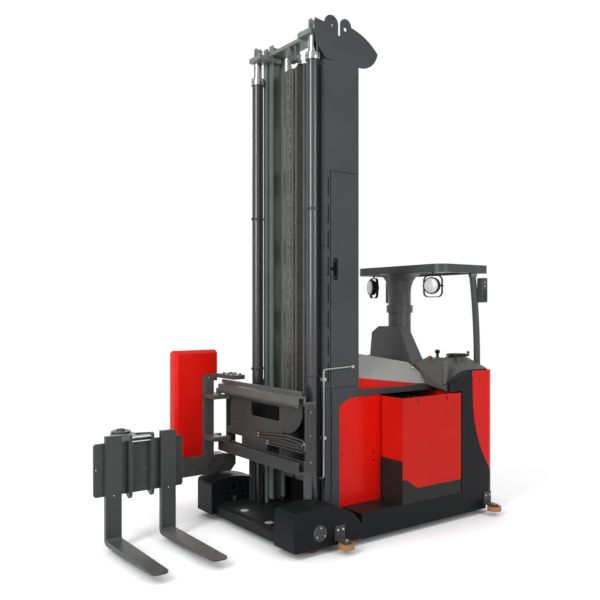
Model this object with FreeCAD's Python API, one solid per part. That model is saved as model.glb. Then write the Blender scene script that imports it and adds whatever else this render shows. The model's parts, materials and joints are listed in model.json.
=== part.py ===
import FreeCAD, Part
import math
import os

# Sit-down turret truck for very narrow aisles: a straddle chassis on two load wheels and one
# steered drive wheel, a two-stage mast, a traverse frame with a side-shifting head, and a fork
# carriage that swings from one side of the truck to the other.
# Millimetres, +X towards the forks, +Y to the truck's left, +Z up.
# Everything is built about the load axle (x = 0) and moved to the origin when it is written.

V = FreeCAD.Vector

# ---------------------------------------------------------------- driving dimensions
MAST_TOP = 4130.0
MAST_HALF_W = 400.0       # outside of the outer uprights
LIFT = 2750.0             # travel of each mast stage
COVER_W = 265.0           # width of a load wheel cover
BATTERY_LEN = 700.0       # along the truck
REAR_LEN = 491.0          # rear body, front to tail
GUARD_TOP = 2230.0
PIVOT_X = 960.0           # swing axis of the fork carriage

# ---------------------------------------------------------------- clearances
RUN_FIT = 0.08            # radial, shaft in a bearing
ROLL_GAP = 0.4            # roller to its track
SEAT_GAP = 0.3            # soft piece to its seat
MOVE_GAP = 9.0            # pieces that pass each other

# ---------------------------------------------------------------- widths, from the mast outwards
CHEEK_GAP = 85.0          # outer upright to the inner cheek of a wheel cover
COVER_IN = MAST_HALF_W + CHEEK_GAP
HALF_W = COVER_IN + COVER_W      # outer face of the side beams and wheel covers
BEAM_IN = COVER_IN + 15          # inner face of the side beams
PANEL_Y = MAST_HALF_W + 100      # outer face of the front side panels

# ---------------------------------------------------------------- chassis
GROUND_GAP = 45.0
BEAM_TOP = 240.0
SHEET = 25.0              # folded panel, edge to edge
PANEL_FRONT_X = -390.0
BULKHEAD_F = -830.0       # front of the battery compartment
BATTERY_GAP = 12.0
RAIL_BOTTOM = 1115.0      # top frame rail over the battery
RAIL_TOP = 1165.0
RAIL_FRONT_X = -590.0
BATTERY_BOTTOM = 240.5
BATTERY_TOP = 1100.0
BATTERY_RIGHT = -480.0
BATTERY_WALL = 8.0
BULKHEAD_T = 15.0
BULKHEAD_R = BULKHEAD_F - 2 * BATTERY_GAP - BATTERY_LEN
BATTERY_FRONT = BULKHEAD_F - BATTERY_GAP
BATTERY_REAR = BATTERY_FRONT - BATTERY_LEN
TRAY_T = 12.0
TRAY_ROLLER_R = 14.0
UNIT_TOP = 980.0          # hydraulic unit
LATCH_X = -753.0          # press latches of the front side panel
LATCH_Z = (574.0, 634.0)

# ---------------------------------------------------------------- load wheels, covers, guide rollers
WHEEL_R = 165.0
WHEEL_W = 110.0
WHEEL_Y = HALF_W - 135
HUB_R = 105.0
AXLE_R = 20.0
COVER_T = 22.0
COVER_SKIN = 16.0         # arched top of the cover
COVER_FRONT = 230.0
COVER_REAR = -412.0
COVER_BOTTOM = 52.0
COVER_TOP = 2 * WHEEL_R + MOVE_GAP + COVER_SKIN
STEP_TOP = WHEEL_R - AXLE_R - 5
STEP_REAR = -130.0
STEP_PLATE_T = 40.0
GUIDE_FRONT_X = -185.0
GUIDE_REACH = 85.0        # guide roller axis beyond the side beam
GUIDE_Z = 62.0            # middle of the guide rollers
GUIDE_R = 60.0
GUIDE_H = 40.0
GUIDE_PIN_R = 10.0

# ---------------------------------------------------------------- mast
UP_FRONT = -250.0         # outer upright, front and rear faces
UP_REAR = -430.0
UP_WEB = 12.0
UP_FLANGE = 18.0
UP_DEPTH = 52.0           # flange width across the truck
UP_FOOT = 110.0
IN_GAP = 6.0              # inner upright to the tips of the outer flanges
IN_WEB = 10.0
IN_DEPTH = 52.0
IN_FRONT = -272.0
IN_REAR = -408.0
IN_FLANGE = 14.0
IN_TOP = MAST_TOP + 20
IN_FOOT = 150.0
IN_OUT = MAST_HALF_W - UP_DEPTH - IN_GAP
CYL_X = -190.0
CYL_R = 49.0
CYL_Y = MAST_HALF_W + 5
CYL_SIDE = CYL_Y + CYL_R + 6       # covers beside a lift cylinder start here
CYL_BORE = 39.0
CYL_TOP = MAST_TOP - 330
GLAND_H = 60.0
ROD_R = 37.0
ROD_TOP = CYL_TOP + 200
CHAIN_X = -250.0
SHEAVE_R = 52.0
SHEAVE_Z = MAST_TOP - 170
SHEAVE_X = CHAIN_X - SHEAVE_R
SHEAVE_PIN_R = 12.0
CHAIN_W = 62.0
CHAIN_T = 14.0
CHAIN_Y = 0.0
CROSS_PITCH = 620.0
CROSS_H = 120.0
CROSS_T = 12.0
ROLLER_W = 32.0           # mast rollers
MAST_ROLLERS = (330.0, 800.0)    # heights of the inner mast's rollers
CHANNEL_T = 38.0          # hose channels on the inner mast, front to back
CHANNEL_SPANS = ((-236.0, -115.0), (-85.0, 50.0))
SHIELD_TOP = 1096.0       # sheet round the foot of each lift cylinder
SHIELD_T = 6.0
MAST_COVER_LOW = 1200.0
MAST_COVER_SPLIT = 2330.0
MAST_COVER_FRONT = -238.0
MAST_COVER_REAR = -590.0
MAST_COVER_T = 15.0
HANDLE_X = -345.0
HANDLE_Z = 2145.0
PIPE_R = 6.0              # bent pipe clipped to the front corner of the mast cover

# ---------------------------------------------------------------- lift carriage
RAIL_FRONT = 100.0
TRAV_W = 80.0             # rail, front to back
TRAV_HALF = MAST_HALF_W + 200    # half length of the rails
TOP_RAIL_H = 77.0
LOW_RAIL_H = 90.0
TOP_RAIL_Z = 1165.0       # top of the top rail
LOW_RAIL_Z = 580.0        # underside of the bottom rail
SLOT = 50.0
SLOT_FLOOR = 15.0
SIDE_PLATE_T = 25.0
SIDE_PLATE_Y = IN_OUT - IN_DEPTH - 30    # centre of the carriage side plates
CAR_ROLLERS = (700.0, 1040.0)
ANCHOR_TOP = 1120.0
ANCHOR_LOW = 700.0        # lower cross tie of the side plates
RAIL_BACK = RAIL_FRONT - TRAV_W
MID_BEAM = (733.0, 787.0)        # middle cross beam, bottom and top
STRIP_H = 32.0            # upstand along the top rail
CARRIAGE_REAR = -400.0    # rear edge of the side plates
FACE_PLATE_T = 12.0
FACE_WINDOW = (-180.0, 255.0, 930.0, 1050.0)
HOSE_R = 9.0
HOSE_BOX = (-315.0, 76.0, 768.0)         # hose junction: its two ends and its top

# ---------------------------------------------------------------- head and forks
PLATE_Y = -(TRAV_HALF + 50)      # left face of the head plate
PIVOT_Y = PLATE_Y - 50
PLATE_T = 36.0
ARM_BOTTOM = COVER_TOP + 10
ARM_TOP = 530.0
PLATE_TOP = 1248.0
PLATE_FRONT = 212.0
ARM_W = 120.0
HEAD_COVER_T = 112.0
HEAD_COVER_TOP = 1460.0
HEAD_COVER_FRONT = 468.0
FORK_W = 125.0
FORK_T = 40.0
FORK_BOTTOM = 40.0
FORK_LEN = 850.0
FORK_TIP_T = 12.0
HEEL_R = 45.0
HEEL_INNER_R = 12.0
TIP_R = 45.0
FORK_TOP = 862.0
FORK_HALF_SPREAD = 226.0
FORK_FACE = 430.0         # pivot to the front face of the fork shanks
CARR_HALF = 368.0
CARR_BOTTOM = 402.0
CARR_TOP = 805.0
CARR_T = 20.0
RIB_X = 90.0              # fork carriage ribs, from the middle
RIB_T = 25.0
GUARD_HOLE_X = 350.0      # bolt holes for a load guard, from the middle
GUARD_HOLE_Z = 610.0
GUARD_HOLE_R = 6.5
KING_R = 30.0

# ---------------------------------------------------------------- operator's place
REAR_FRONT = BULKHEAD_R - BULKHEAD_T
REAR_X = REAR_FRONT - REAR_LEN   # rearmost point of the rear bumper, on the centreline
GUIDE_REAR_X = REAR_X + 180
FLOOR_Z = 450.0
WALL_TOP = 1280.0
RIGHT_WALL_TOP = 1000.0
WALL_T = 30.0
SKIRT_LOW = 150.0
BUMPER_TOP = 360.0
ENTRY_HALF = 430.0
GUARD_H = 75.0
GUARD_FRONT = REAR_FRONT + 99
GUARD_REAR = REAR_X - 25
GUARD_HALF = PANEL_Y + 83
GUARD_CORNER = 120.0
COLUMN_X = REAR_FRONT + 9
BAND_Z = 1790.0           # clamp band round the column
COLUMN_Y = -30.0
COLUMN_R = 107.0
BOOT_TOP = 1660.0
POST_R = 30.0
POST_Y = HALF_W - 190
POST_X = REAR_X + 85
DRIVE_X = REAR_X + 260
DRIVE_Y = -200.0
DRIVE_R = 160.0
DRIVE_W = 100.0
DRIVE_HUB_R = 110.0
DRIVE_AXLE_R = 30.0
NECK_R = 100.0
SEAT_X = REAR_FRONT - 198
SEAT_W = 370.0
SEAT_TOP = 950.0
BACK_TOP = 1370.0
SEAT_PAD = 100.0
SEAT_FRONT_Y = -100.0
SEAT_REAR_Y = -(HALF_W - 190)
DESK_Z = 1372.0
DESK_TOP = 1385.0
STEER_POS = (REAR_X + 280, HALF_W - 250, 1392.0)
STEER_R = 105.0
STEER_PIN_R = 9.0
LAMP_R = 75.0
LAMP_TURN = 20.0          # degrees each work lamp is turned outwards

# The bounding box runs from the rear bumper or guard to the end of the fork carriage.
FRONT_END = PIVOT_X + CARR_HALF
REAR_END = min(REAR_X, GUARD_REAR)
ORIGIN = V((FRONT_END + REAR_END) / 2, 0, 0)


# ---------------------------------------------------------------- helpers
def box(x0, x1, y0, y1, z0, z1):
    """Block between two corners, given in any order."""
    x0, x1 = sorted((x0, x1))
    y0, y1 = sorted((y0, y1))
    z0, z1 = sorted((z0, z1))
    return Part.makeBox(x1 - x0, y1 - y0, z1 - z0, V(x0, y0, z0))


def cyl(r, length, at, axis):
    """Cylinder from a point along an axis."""
    return Part.makeCylinder(r, length, V(*at), V(*axis))


def ring(r_out, r_in, length, at, axis):
    """Tube from a point along an axis."""
    return cyl(r_out, length, at, axis).cut(cyl(r_in, length, at, axis))


def face_of(points):
    """Flat face through corner points."""
    return Part.Face(Part.makePolygon([V(*p) for p in points] + [V(*points[0])]))


def prism_y(outline, y0, y1):
    """Outline in x, z pushed from y0 to y1."""
    return face_of([(x, y0, z) for x, z in outline]).extrude(V(0, y1 - y0, 0))


def prism_z(outline, z0, z1):
    """Outline in x, y pushed from z0 to z1."""
    return face_of([(x, y, z0) for x, y in outline]).extrude(V(0, 0, z1 - z0))


def prism_x(outline, x0, x1):
    """Outline in y, z pushed from x0 to x1."""
    return face_of([(x0, y, z) for y, z in outline]).extrude(V(x1 - x0, 0, 0))


def join(shapes):
    """One solid from pieces that are welded together."""
    shapes = list(shapes)
    whole = shapes[0].multiFuse(shapes[1:]) if len(shapes) > 1 else shapes[0]
    return whole.removeSplitter()


def cut(shape, tools):
    """Shape with each tool taken out."""
    for tool in tools:
        shape = shape.cut(tool)
    return shape


def other_side(shape):
    """The same piece on the truck's other side."""
    return shape.mirror(V(0, 0, 0), V(0, 1, 0))


def both_sides(shape):
    """A piece and its mirror image, as two solids."""
    return [shape, other_side(shape)]


def rounded(shape, axis, radius, keep=None):
    """Round the straight edges that run along an axis."""
    edges = []
    for edge in shape.Edges:
        if not isinstance(edge.Curve, Part.Line):
            continue
        run = edge.Vertexes[-1].Point.sub(edge.Vertexes[0].Point)
        along = abs(run.dot(V(*axis))) > 0.999 * run.Length
        if along and (keep is None or keep(edge.CenterOfMass)):
            edges.append(edge)
    return shape.makeFillet(radius, edges) if edges else shape


def many_sided(centre, normal, radius, sides):
    """Regular outline square to a direction, as wide as a circle of the radius."""
    along = V(*normal)
    along.normalize()
    across = along.cross(V(0, 0, 1) if abs(along.z) < 0.9 else V(1, 0, 0))
    across.normalize()
    up = along.cross(across)
    turns = [2 * math.pi * (i + 0.5) / sides for i in range(sides)]
    corners = [centre + across * (radius * math.cos(a)) + up * (radius * math.sin(a)) for a in turns]
    return Part.makePolygon(corners + corners[:1])


def bent_bar(points, radius, bend, sides=10):
    """Bar, pipe or hose along a run of points, its corners bent to one radius, its section many-sided."""
    points = [V(*p) for p in points]
    edges = []
    start = points[0]
    for corner, after in zip(points[1:-1], points[2:]):
        into, out = start - corner, after - corner
        into.normalize()
        out.normalize()
        half = into.getAngle(out) / 2
        back = bend / math.tan(half)
        a, c = corner + into * back, corner + out * back
        middle = into + out
        middle.normalize()
        b = corner + middle * (bend / math.sin(half) - bend)
        edges += [Part.makeLine(start, a), Part.Arc(a, b, c).toShape()]
        start = c
    edges.append(Part.makeLine(start, points[-1]))
    section = many_sided(points[0], points[1] - points[0], radius, sides)
    return Part.Wire(edges).makePipeShell([section], True, False)


def write(name, shapes):
    """Write one node."""
    shapes = shapes if isinstance(shapes, list) else [shapes]
    solids = [solid for shape in shapes for solid in shape.Solids]
    whole = solids[0] if len(solids) == 1 else Part.makeCompound(solids)
    whole = whole.copy()
    whole.translate(ORIGIN.negative())
    whole.exportStep("parts/" + name + ".step")
    print(name, len(solids), round(sum(s.Volume for s in solids) / 1e6, 2), whole.isValid())


# ---------------------------------------------------------------- chassis
def rear_outline(inset):
    """Plan of the rear body: straight sides, round corners, a gently bowed tail."""
    y = HALF_W - inset
    corner = 110.0 - inset / 2
    tail = REAR_X + inset
    side_end = V(REAR_X + 170 + inset / 2, y, 0)
    corner_end = V(REAR_X + 60 + inset, y - corner, 0)
    mid = V(side_end.x - 0.72 * (side_end.x - corner_end.x), y - 0.28 * corner, 0)
    front = REAR_FRONT
    edges = [
        Part.makeLine(V(front, y, 0), side_end),
        Part.Arc(side_end, mid, corner_end).toShape(),
        Part.Arc(corner_end, V(tail, 0, 0), V(corner_end.x, -corner_end.y, 0)).toShape(),
        Part.Arc(V(corner_end.x, -corner_end.y, 0), V(mid.x, -mid.y, 0),
                 V(side_end.x, -y, 0)).toShape(),
        Part.makeLine(V(side_end.x, -y, 0), V(front, -y, 0)),
        Part.makeLine(V(front, -y, 0), V(front, y, 0)),
    ]
    return Part.Wire(edges)


def rear_block(inset, z0, z1):
    """The rear body's plan as a block between two heights."""
    face = Part.Face(rear_outline(inset))
    face.translate(V(0, 0, z0))
    return face.extrude(V(0, 0, z1 - z0))


def base_frame():
    """Side beams, mast cross member, battery tray and the two battery bulkheads."""
    pieces = both_sides(box(COVER_REAR, REAR_FRONT, BEAM_IN, HALF_W, GROUND_GAP, BEAM_TOP))
    pieces.append(box(BULKHEAD_F, COVER_REAR, -BEAM_IN, BEAM_IN, GROUND_GAP, UP_FOOT))
    pieces.append(box(COVER_REAR, STEP_REAR, -COVER_IN, COVER_IN, GROUND_GAP, UP_FOOT))
    tail = box(REAR_X + 150, BULKHEAD_R, HALF_W - 110, HALF_W, GROUND_GAP, SKIRT_LOW)
    pieces += both_sides(rounded(tail, (0, 0, 1), 60,
                                 lambda p: p.x < REAR_X + 151 and abs(p.y) > HALF_W - 1))
    tray_top = BATTERY_BOTTOM - 2 * TRAY_ROLLER_R - ROLL_GAP
    pieces.append(box(BULKHEAD_R, BULKHEAD_F, -BEAM_IN, BEAM_IN, tray_top - TRAY_T, tray_top))
    pieces.append(box(BULKHEAD_F, BULKHEAD_F + BULKHEAD_T, -PANEL_Y + SHEET, PANEL_Y - SHEET,
                      tray_top - TRAY_T, RAIL_BOTTOM))
    pieces.append(box(REAR_FRONT, BULKHEAD_R, -HALF_W, HALF_W, SKIRT_LOW, RAIL_BOTTOM))
    return join(pieces)


def tray_rollers():
    """Cross rollers that carry the battery."""
    z = BATTERY_BOTTOM - TRAY_ROLLER_R - ROLL_GAP
    count = 6
    first, last = BATTERY_RIGHT + 40, BEAM_IN - 60
    pitch = (last - first) / (count - 1)
    return [cyl(TRAY_ROLLER_R, BATTERY_LEN, (BATTERY_REAR, first + i * pitch, z), (1, 0, 0))
            for i in range(count)]


def cover_outline(inset):
    """Side view of a wheel cover: upright nose, arched top, long tail."""
    f, r, t = COVER_FRONT - inset, COVER_REAR + inset, COVER_TOP - inset
    b = COVER_BOTTOM
    nose = V(f, 0, t - 60)
    tail = BEAM_TOP - 85
    edges = [
        Part.makeLine(V(f, 0, b), nose),
        Part.Arc(nose, V(f - 12, 0, t - 32), V(f - 40, 0, t - 20)).toShape(),
        Part.Arc(V(f - 40, 0, t - 20), V(f - 230, 0, t), V(f - 400, 0, t - 28)).toShape(),
        Part.Arc(V(f - 400, 0, t - 28), V(r + 80, 0, t - 105), V(r, 0, tail)).toShape(),
        Part.makeLine(V(r, 0, tail), V(r, 0, b)),
        Part.makeLine(V(r, 0, b), V(f, 0, b)),
    ]
    return Part.Face(Part.Wire(edges))


def cover_block(inset, y0, y1):
    """The wheel cover's side view as a block between two planes."""
    block = cover_outline(inset).extrude(V(0, y1 - y0, 0))
    block.translate(V(0, y0, 0))
    return block


def wheel_cover():
    """Left wheel cover: an arched housing open below, with holes in its inner cheek."""
    shell = cover_block(0, COVER_IN, HALF_W)
    hollow = cover_block(COVER_SKIN, COVER_IN + COVER_T, HALF_W - COVER_T)
    reach = WHEEL_R + 30
    slot = box(-reach, reach, COVER_IN + COVER_T, HALF_W - COVER_T, 0, COVER_BOTTOM + 1)
    edge = 14.0
    corner = prism_z([(COVER_FRONT + 1, HALF_W + 1), (COVER_FRONT - edge, HALF_W + 1),
                      (COVER_FRONT + 1, HALF_W - edge)], 0, COVER_TOP)
    cheek = COVER_IN - 1
    holes = [cyl(r, COVER_T + 2, (x, cheek, WHEEL_R + dz), (0, 1, 0))
             for r, x, dz in ((26, 0, 97), (18, 70, 41), (18, -92, 41))]
    axle = cyl(AXLE_R, HALF_W, (0, cheek, WHEEL_R), (0, 1, 0))
    return cut(shell, [hollow, slot, corner, axle] + holes)


def load_axle():
    """Axle through both cheeks, with a bevelled cap outside."""
    pin = cyl(AXLE_R, HALF_W - COVER_IN + 6, (0, COVER_IN - 6, WHEEL_R), (0, 1, 0))
    cap = Part.makeCone(62, 54, 14, V(0, HALF_W, WHEEL_R), V(0, 1, 0))
    return join([pin, cap])


def load_wheel():
    """Cast hub with a thick polyurethane tyre."""
    y = WHEEL_Y - WHEEL_W / 2
    tyre = ring(WHEEL_R, HUB_R, WHEEL_W, (0, y, WHEEL_R), (0, 1, 0))
    hub = cyl(HUB_R, WHEEL_W - 10, (0, y + 5, WHEEL_R), (0, 1, 0))
    boss = cyl(45, WHEEL_Y * 2 - 2 * y + 40, (0, y - 20, WHEEL_R), (0, 1, 0))
    bore = cyl(AXLE_R + RUN_FIT, HALF_W, (0, y - 50, WHEEL_R), (0, 1, 0))
    return tyre, join([hub, boss]).cut(bore)


def front_step():
    """Step plate between the covers, on its front beam."""
    front = COVER_FRONT - 40
    beam = box(front - 40, front, -COVER_IN, COVER_IN, GROUND_GAP, STEP_TOP - 20)
    plate = prism_y([(front, STEP_TOP - STEP_PLATE_T), (front, STEP_TOP - 32), (front - 40, STEP_TOP),
                     (STEP_REAR, STEP_TOP), (STEP_REAR, STEP_TOP - STEP_PLATE_T)], -COVER_IN, COVER_IN)
    return join([beam, plate])


def guide_roller_at(x, side):
    """Aisle guide roller: angle bracket, pin and roller beside the side beam."""
    y = side * (HALF_W + GUIDE_REACH)
    plate_z = GUIDE_Z + GUIDE_H / 2 + 2
    arm = box(x - 35, x + 35, side * HALF_W, y, plate_z, plate_z + 14)
    upright = box(x - 45, x + 45, side * HALF_W, side * (HALF_W + 12), plate_z, plate_z + 110)
    end = cyl(35, 14, (x, y, plate_z), (0, 0, 1))
    pin = cyl(GUIDE_PIN_R, GUIDE_H + 8, (x, y, GUIDE_Z - GUIDE_H / 2 - 4), (0, 0, 1))
    roller = ring(GUIDE_R, GUIDE_PIN_R + RUN_FIT, GUIDE_H, (x, y, GUIDE_Z - GUIDE_H / 2), (0, 0, 1))
    return join([arm, upright, end, pin]), roller


# ---------------------------------------------------------------- body panels
def panel_outline(rise):
    """Side view of a front side panel, its front top corner swept back."""
    start = V(PANEL_FRONT_X + rise, 0, RAIL_BOTTOM - 80)
    end = V(PANEL_FRONT_X - 170, 0, RAIL_BOTTOM - 8 + rise)
    edges = [
        Part.makeLine(V(PANEL_FRONT_X + rise, 0, BEAM_TOP), start),
        Part.Arc(start, V(PANEL_FRONT_X - 68 + rise, 0, RAIL_BOTTOM - 28 + rise), end).toShape(),
        Part.makeLine(end, V(BULKHEAD_F, 0, RAIL_BOTTOM - 5 + rise)),
        Part.makeLine(V(BULKHEAD_F, 0, RAIL_BOTTOM - 5 + rise), V(BULKHEAD_F, 0, BEAM_TOP)),
        Part.makeLine(V(BULKHEAD_F, 0, BEAM_TOP), V(PANEL_FRONT_X + rise, 0, BEAM_TOP)),
    ]
    return Part.Face(Part.Wire(edges))


def front_panels():
    """Red front side panels with their latch holes, and the red wedges under the hood."""
    panel = panel_outline(0).extrude(V(0, SHEET, 0))
    panel.translate(V(0, PANEL_Y - SHEET, 0))
    latches = [cyl(11, 8, (LATCH_X, PANEL_Y + 1, z), (0, -1, 0)) for z in LATCH_Z]
    wedge = prism_y([(RAIL_FRONT_X - 10, RAIL_TOP), (RAIL_FRONT_X - 10, HOOD_LOW_FRONT),
                     (-1270, RAIL_TOP + 8), (-1270, RAIL_TOP)], HOOD_HALF - 25, HOOD_HALF)
    return both_sides(cut(panel, latches)) + both_sides(wedge)


def top_rails():
    """Dark side frames: a ribbed pillar before each red panel and the rail over the battery, with a deck."""
    inner = MAST_HALF_W + SEAT_GAP
    pillar = box(MAST_COVER_FRONT, PANEL_FRONT_X - 200, CYL_SIDE, PANEL_Y, UP_FOOT, MAST_COVER_LOW - 5)
    tie = box(UP_REAR, UP_FRONT - 20, inner, CYL_SIDE + 1, UP_FOOT, MAST_COVER_LOW - 5)
    rail = prism_y([(RAIL_FRONT_X, RAIL_BOTTOM - 5), (RAIL_FRONT_X, RAIL_TOP), (REAR_FRONT, RAIL_TOP),
                    (REAR_FRONT, RAIL_BOTTOM), (BULKHEAD_F + BULKHEAD_T, RAIL_BOTTOM)], inner, PANEL_Y)
    panel_gap = panel_outline(0.5).extrude(V(0, PANEL_Y, 0))
    behind = box(UP_REAR - 30, BULKHEAD_F, inner - 1, PANEL_Y - SHEET, 0, RAIL_BOTTOM - 60)
    cover = cover_block(-3, COVER_IN - 1, HALF_W)
    groove = box(-311, -273, PANEL_Y - 8, PANEL_Y + 1, 0, MAST_TOP)
    over = box(RAIL_FRONT_X - 1, REAR_X, inner - 1, PANEL_Y + 1, RAIL_TOP, MAST_TOP)
    side = cut(join([pillar, tie, rail]), [panel_gap, behind, cover, groove, over])
    rib = box(MAST_COVER_FRONT, -273, PANEL_Y, PANEL_Y + 8, 421, MAST_COVER_LOW - 5)
    deck = box(REAR_FRONT, -1340, -inner, inner, RAIL_BOTTOM, RAIL_BOTTOM + 15)
    return join(both_sides(side) + both_sides(rib) + [deck])


HOOD_HALF = PANEL_Y - 30
HOOD_TOP_HALF = HOOD_HALF - 110
HOOD_LOW_FRONT = 1262.0
HOOD_TAIL = -1395.0


def hood():
    """Light grey hood: leaning sides, a back that slopes down and falls away at its tail."""
    skin = 12.0
    stations = (
        (RAIL_FRONT_X - 10, HOOD_LOW_FRONT, 1468, HOOD_TOP_HALF),
        (HOOD_TAIL + 110, RAIL_TOP + 8, 1352, HOOD_TOP_HALF),
        (HOOD_TAIL, RAIL_TOP + 2, 1262, HOOD_TOP_HALF + 40),
    )

    def section(station, inset, shift):
        x, low, top, half_top = station
        low_half, top_half = HOOD_HALF - inset, half_top - inset
        corners = [V(x + shift, -low_half, low + SEAT_GAP), V(x + shift, -top_half, top - inset),
                   V(x + shift, top_half, top - inset), V(x + shift, low_half, low + SEAT_GAP)]
        return Part.makePolygon(corners + corners[:1])

    def body(inset):
        first, middle, last = stations
        front = Part.makeLoft([section(first, inset, -inset), section(middle, inset, 0)], True, True)
        tail = Part.makeLoft([section(middle, inset, 0), section(last, inset, inset)], True, True)
        return front.fuse(tail)

    return body(0).cut(body(skin))


def battery_case():
    """Open-topped steel battery case with two lifting slots in its outer wall."""
    wall = BATTERY_WALL
    outer = box(BATTERY_REAR, BATTERY_FRONT, BATTERY_RIGHT, HALF_W, BATTERY_BOTTOM, BATTERY_TOP)
    inner = box(BATTERY_REAR + wall, BATTERY_FRONT - wall, BATTERY_RIGHT + wall, HALF_W - wall,
                BATTERY_BOTTOM + wall, BATTERY_TOP + 1)
    slots = [box(x - 7, x + 7, HALF_W - wall - 1, HALF_W + 1, BATTERY_TOP - 52, BATTERY_TOP - 18)
             for x in (BATTERY_FRONT - BATTERY_LEN / 4, BATTERY_REAR + BATTERY_LEN / 4)]
    return cut(outer, [inner] + slots)


def battery_cells():
    """The cells, as one block inside the case."""
    return box(BATTERY_REAR + BATTERY_WALL, BATTERY_FRONT - BATTERY_WALL, BATTERY_RIGHT + BATTERY_WALL,
               HALF_W - BATTERY_WALL, BATTERY_BOTTOM + BATTERY_WALL, BATTERY_TOP - 60)


def right_cover():
    """Fixed panel that closes the battery compartment on the right."""
    panel = box(BATTERY_REAR, BATTERY_FRONT, -HALF_W, -HALF_W + SHEET, BEAM_TOP, BATTERY_TOP)
    wing = box(BATTERY_FRONT, BULKHEAD_F, -HALF_W, -PANEL_Y, BEAM_TOP, BATTERY_TOP)
    return join([panel, wing])


def hydraulic_unit():
    """Pump, motor and tank under the hood, as one block."""
    return box(BULKHEAD_F + BULKHEAD_T, UP_REAR - 60, -MAST_HALF_W, MAST_HALF_W, UP_FOOT, UNIT_TOP)


# ---------------------------------------------------------------- operator's place
def corner_cut(side):
    """Side view of a red corner panel: its front edge sweeps back and down to a point on the bumper."""
    line = REAR_FRONT - 120
    start, end = V(line, 0, WALL_TOP + 1), V(line - 8, 0, 1043)
    tip = V(REAR_X + 109, 0, BUMPER_TOP)
    edges = [
        Part.makeLine(start, end),
        Part.Arc(end, V(line - 84, 0, 665), tip).toShape(),
        Part.makeLine(tip, V(REAR_X - 50, 0, BUMPER_TOP)),
        Part.makeLine(V(REAR_X - 50, 0, BUMPER_TOP), V(REAR_X - 50, 0, WALL_TOP + 1)),
        Part.makeLine(V(REAR_X - 50, 0, WALL_TOP + 1), start),
    ]
    return Part.Face(Part.Wire(edges)).extrude(V(0, side * (HALF_W + 10), 0))


def rear_wall_ring(z0, z1):
    """One course of the rear body's wall, open towards the battery."""
    course = rear_block(0, z0, z1).cut(rear_block(WALL_T, z0 - 1, z1 + 1))
    half = HALF_W - WALL_T
    return course.cut(box(REAR_FRONT - WALL_T - 1, BULKHEAD_R, -half, half, z0 - 1, z1 + 1))


def rear_body():
    """Low dark skirt all round, with the dark side walls standing on it; the left wall carries the console."""
    return join([rear_wall_ring(SKIRT_LOW, BUMPER_TOP)] + rear_walls())


def rear_walls():
    """Dark side walls, the left one rising to carry the console and reaching over the battery."""
    ring_ = rear_wall_ring(BUMPER_TOP, WALL_TOP)
    walls = []
    for side, top in ((1, WALL_TOP), (-1, RIGHT_WALL_TOP)):
        half = ring_.common(box(REAR_X - 10, BULKHEAD_R, 0, side * (HALF_W + 1), BUMPER_TOP, top))
        entry = box(REAR_X - 10, REAR_X + 130, 0, side * ENTRY_HALF, 0, WALL_TOP + 1)
        wall = cut(half, [entry, corner_cut(side)])
        if side > 0:
            wing = box(REAR_FRONT - WALL_T - 1, REAR_FRONT + 169, HALF_W - WALL_T, HALF_W, RAIL_BOTTOM, WALL_TOP)
            wall = join([wall, wing]).cut(wing_sweep())
        walls.append(wall)
    return walls


def wing_sweep():
    """What the left wall's swept top edge leaves out."""
    a, c = V(REAR_FRONT + 170, 0, 1172), V(REAR_FRONT - 120, 0, WALL_TOP)
    edges = [
        Part.Arc(a, V(REAR_FRONT + 9, 0, 1242), c).toShape(),
        Part.makeLine(c, V(REAR_FRONT + 170, 0, WALL_TOP + 5)),
        Part.makeLine(V(REAR_FRONT + 170, 0, WALL_TOP + 5), a),
    ]
    return Part.Face(Part.Wire(edges)).extrude(V(0, HALF_W + 10, 0))


def rear_corner_panels():
    """Red corner panels, each round its corner as far as the entry."""
    panels = []
    for side, top in ((1, WALL_TOP), (-1, RIGHT_WALL_TOP)):
        course = rear_wall_ring(BUMPER_TOP, top).common(corner_cut(side))
        entry = box(REAR_X - 10, REAR_X + 130, 0, side * ENTRY_HALF, 0, WALL_TOP + 1)
        panels.append(course.cut(entry))
    return panels


def pedals():
    """Two foot pedals on a bar across the floor."""
    bar = box(REAR_FRONT - 360, REAR_FRONT - 90, 455, 480, FLOOR_Z + SEAT_GAP, FLOOR_Z + 22)
    pads = [prism_x([(436, FLOOR_Z + 30), (444, FLOOR_Z + 22), (506, FLOOR_Z + 96), (498, FLOOR_Z + 104)],
                    x - 45, x + 45) for x in (REAR_FRONT - 160, REAR_FRONT - 290)]
    stems = [box(x - 8, x + 8, 458, 474, FLOOR_Z + 20, FLOOR_Z + 60) for x in (REAR_FRONT - 160, REAR_FRONT - 290)]
    return join([bar] + pads + stems)


def floor():
    """Operator's floor with the drive unit's bearing ring in it."""
    plate = rear_block(WALL_T + 1, FLOOR_Z - 20, FLOOR_Z)
    front = box(REAR_FRONT - 1, BULKHEAD_R, -HALF_W, HALF_W, 0, WALL_TOP)
    hole = cyl(NECK_R + ROLL_GAP, 200, (DRIVE_X, DRIVE_Y, FLOOR_Z - 150), (0, 0, 1))
    bearing = cyl(NECK_R + 40, 50, (DRIVE_X, DRIVE_Y, FLOOR_Z - 70), (0, 0, 1))
    sill = box(REAR_X + 2, REAR_X + 60, -ENTRY_HALF + 1, ENTRY_HALF - 1, BUMPER_TOP, FLOOR_Z)
    sill = sill.common(rear_block(1, BUMPER_TOP, FLOOR_Z))
    return join([plate.cut(front), bearing, sill]).cut(hole)


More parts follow.
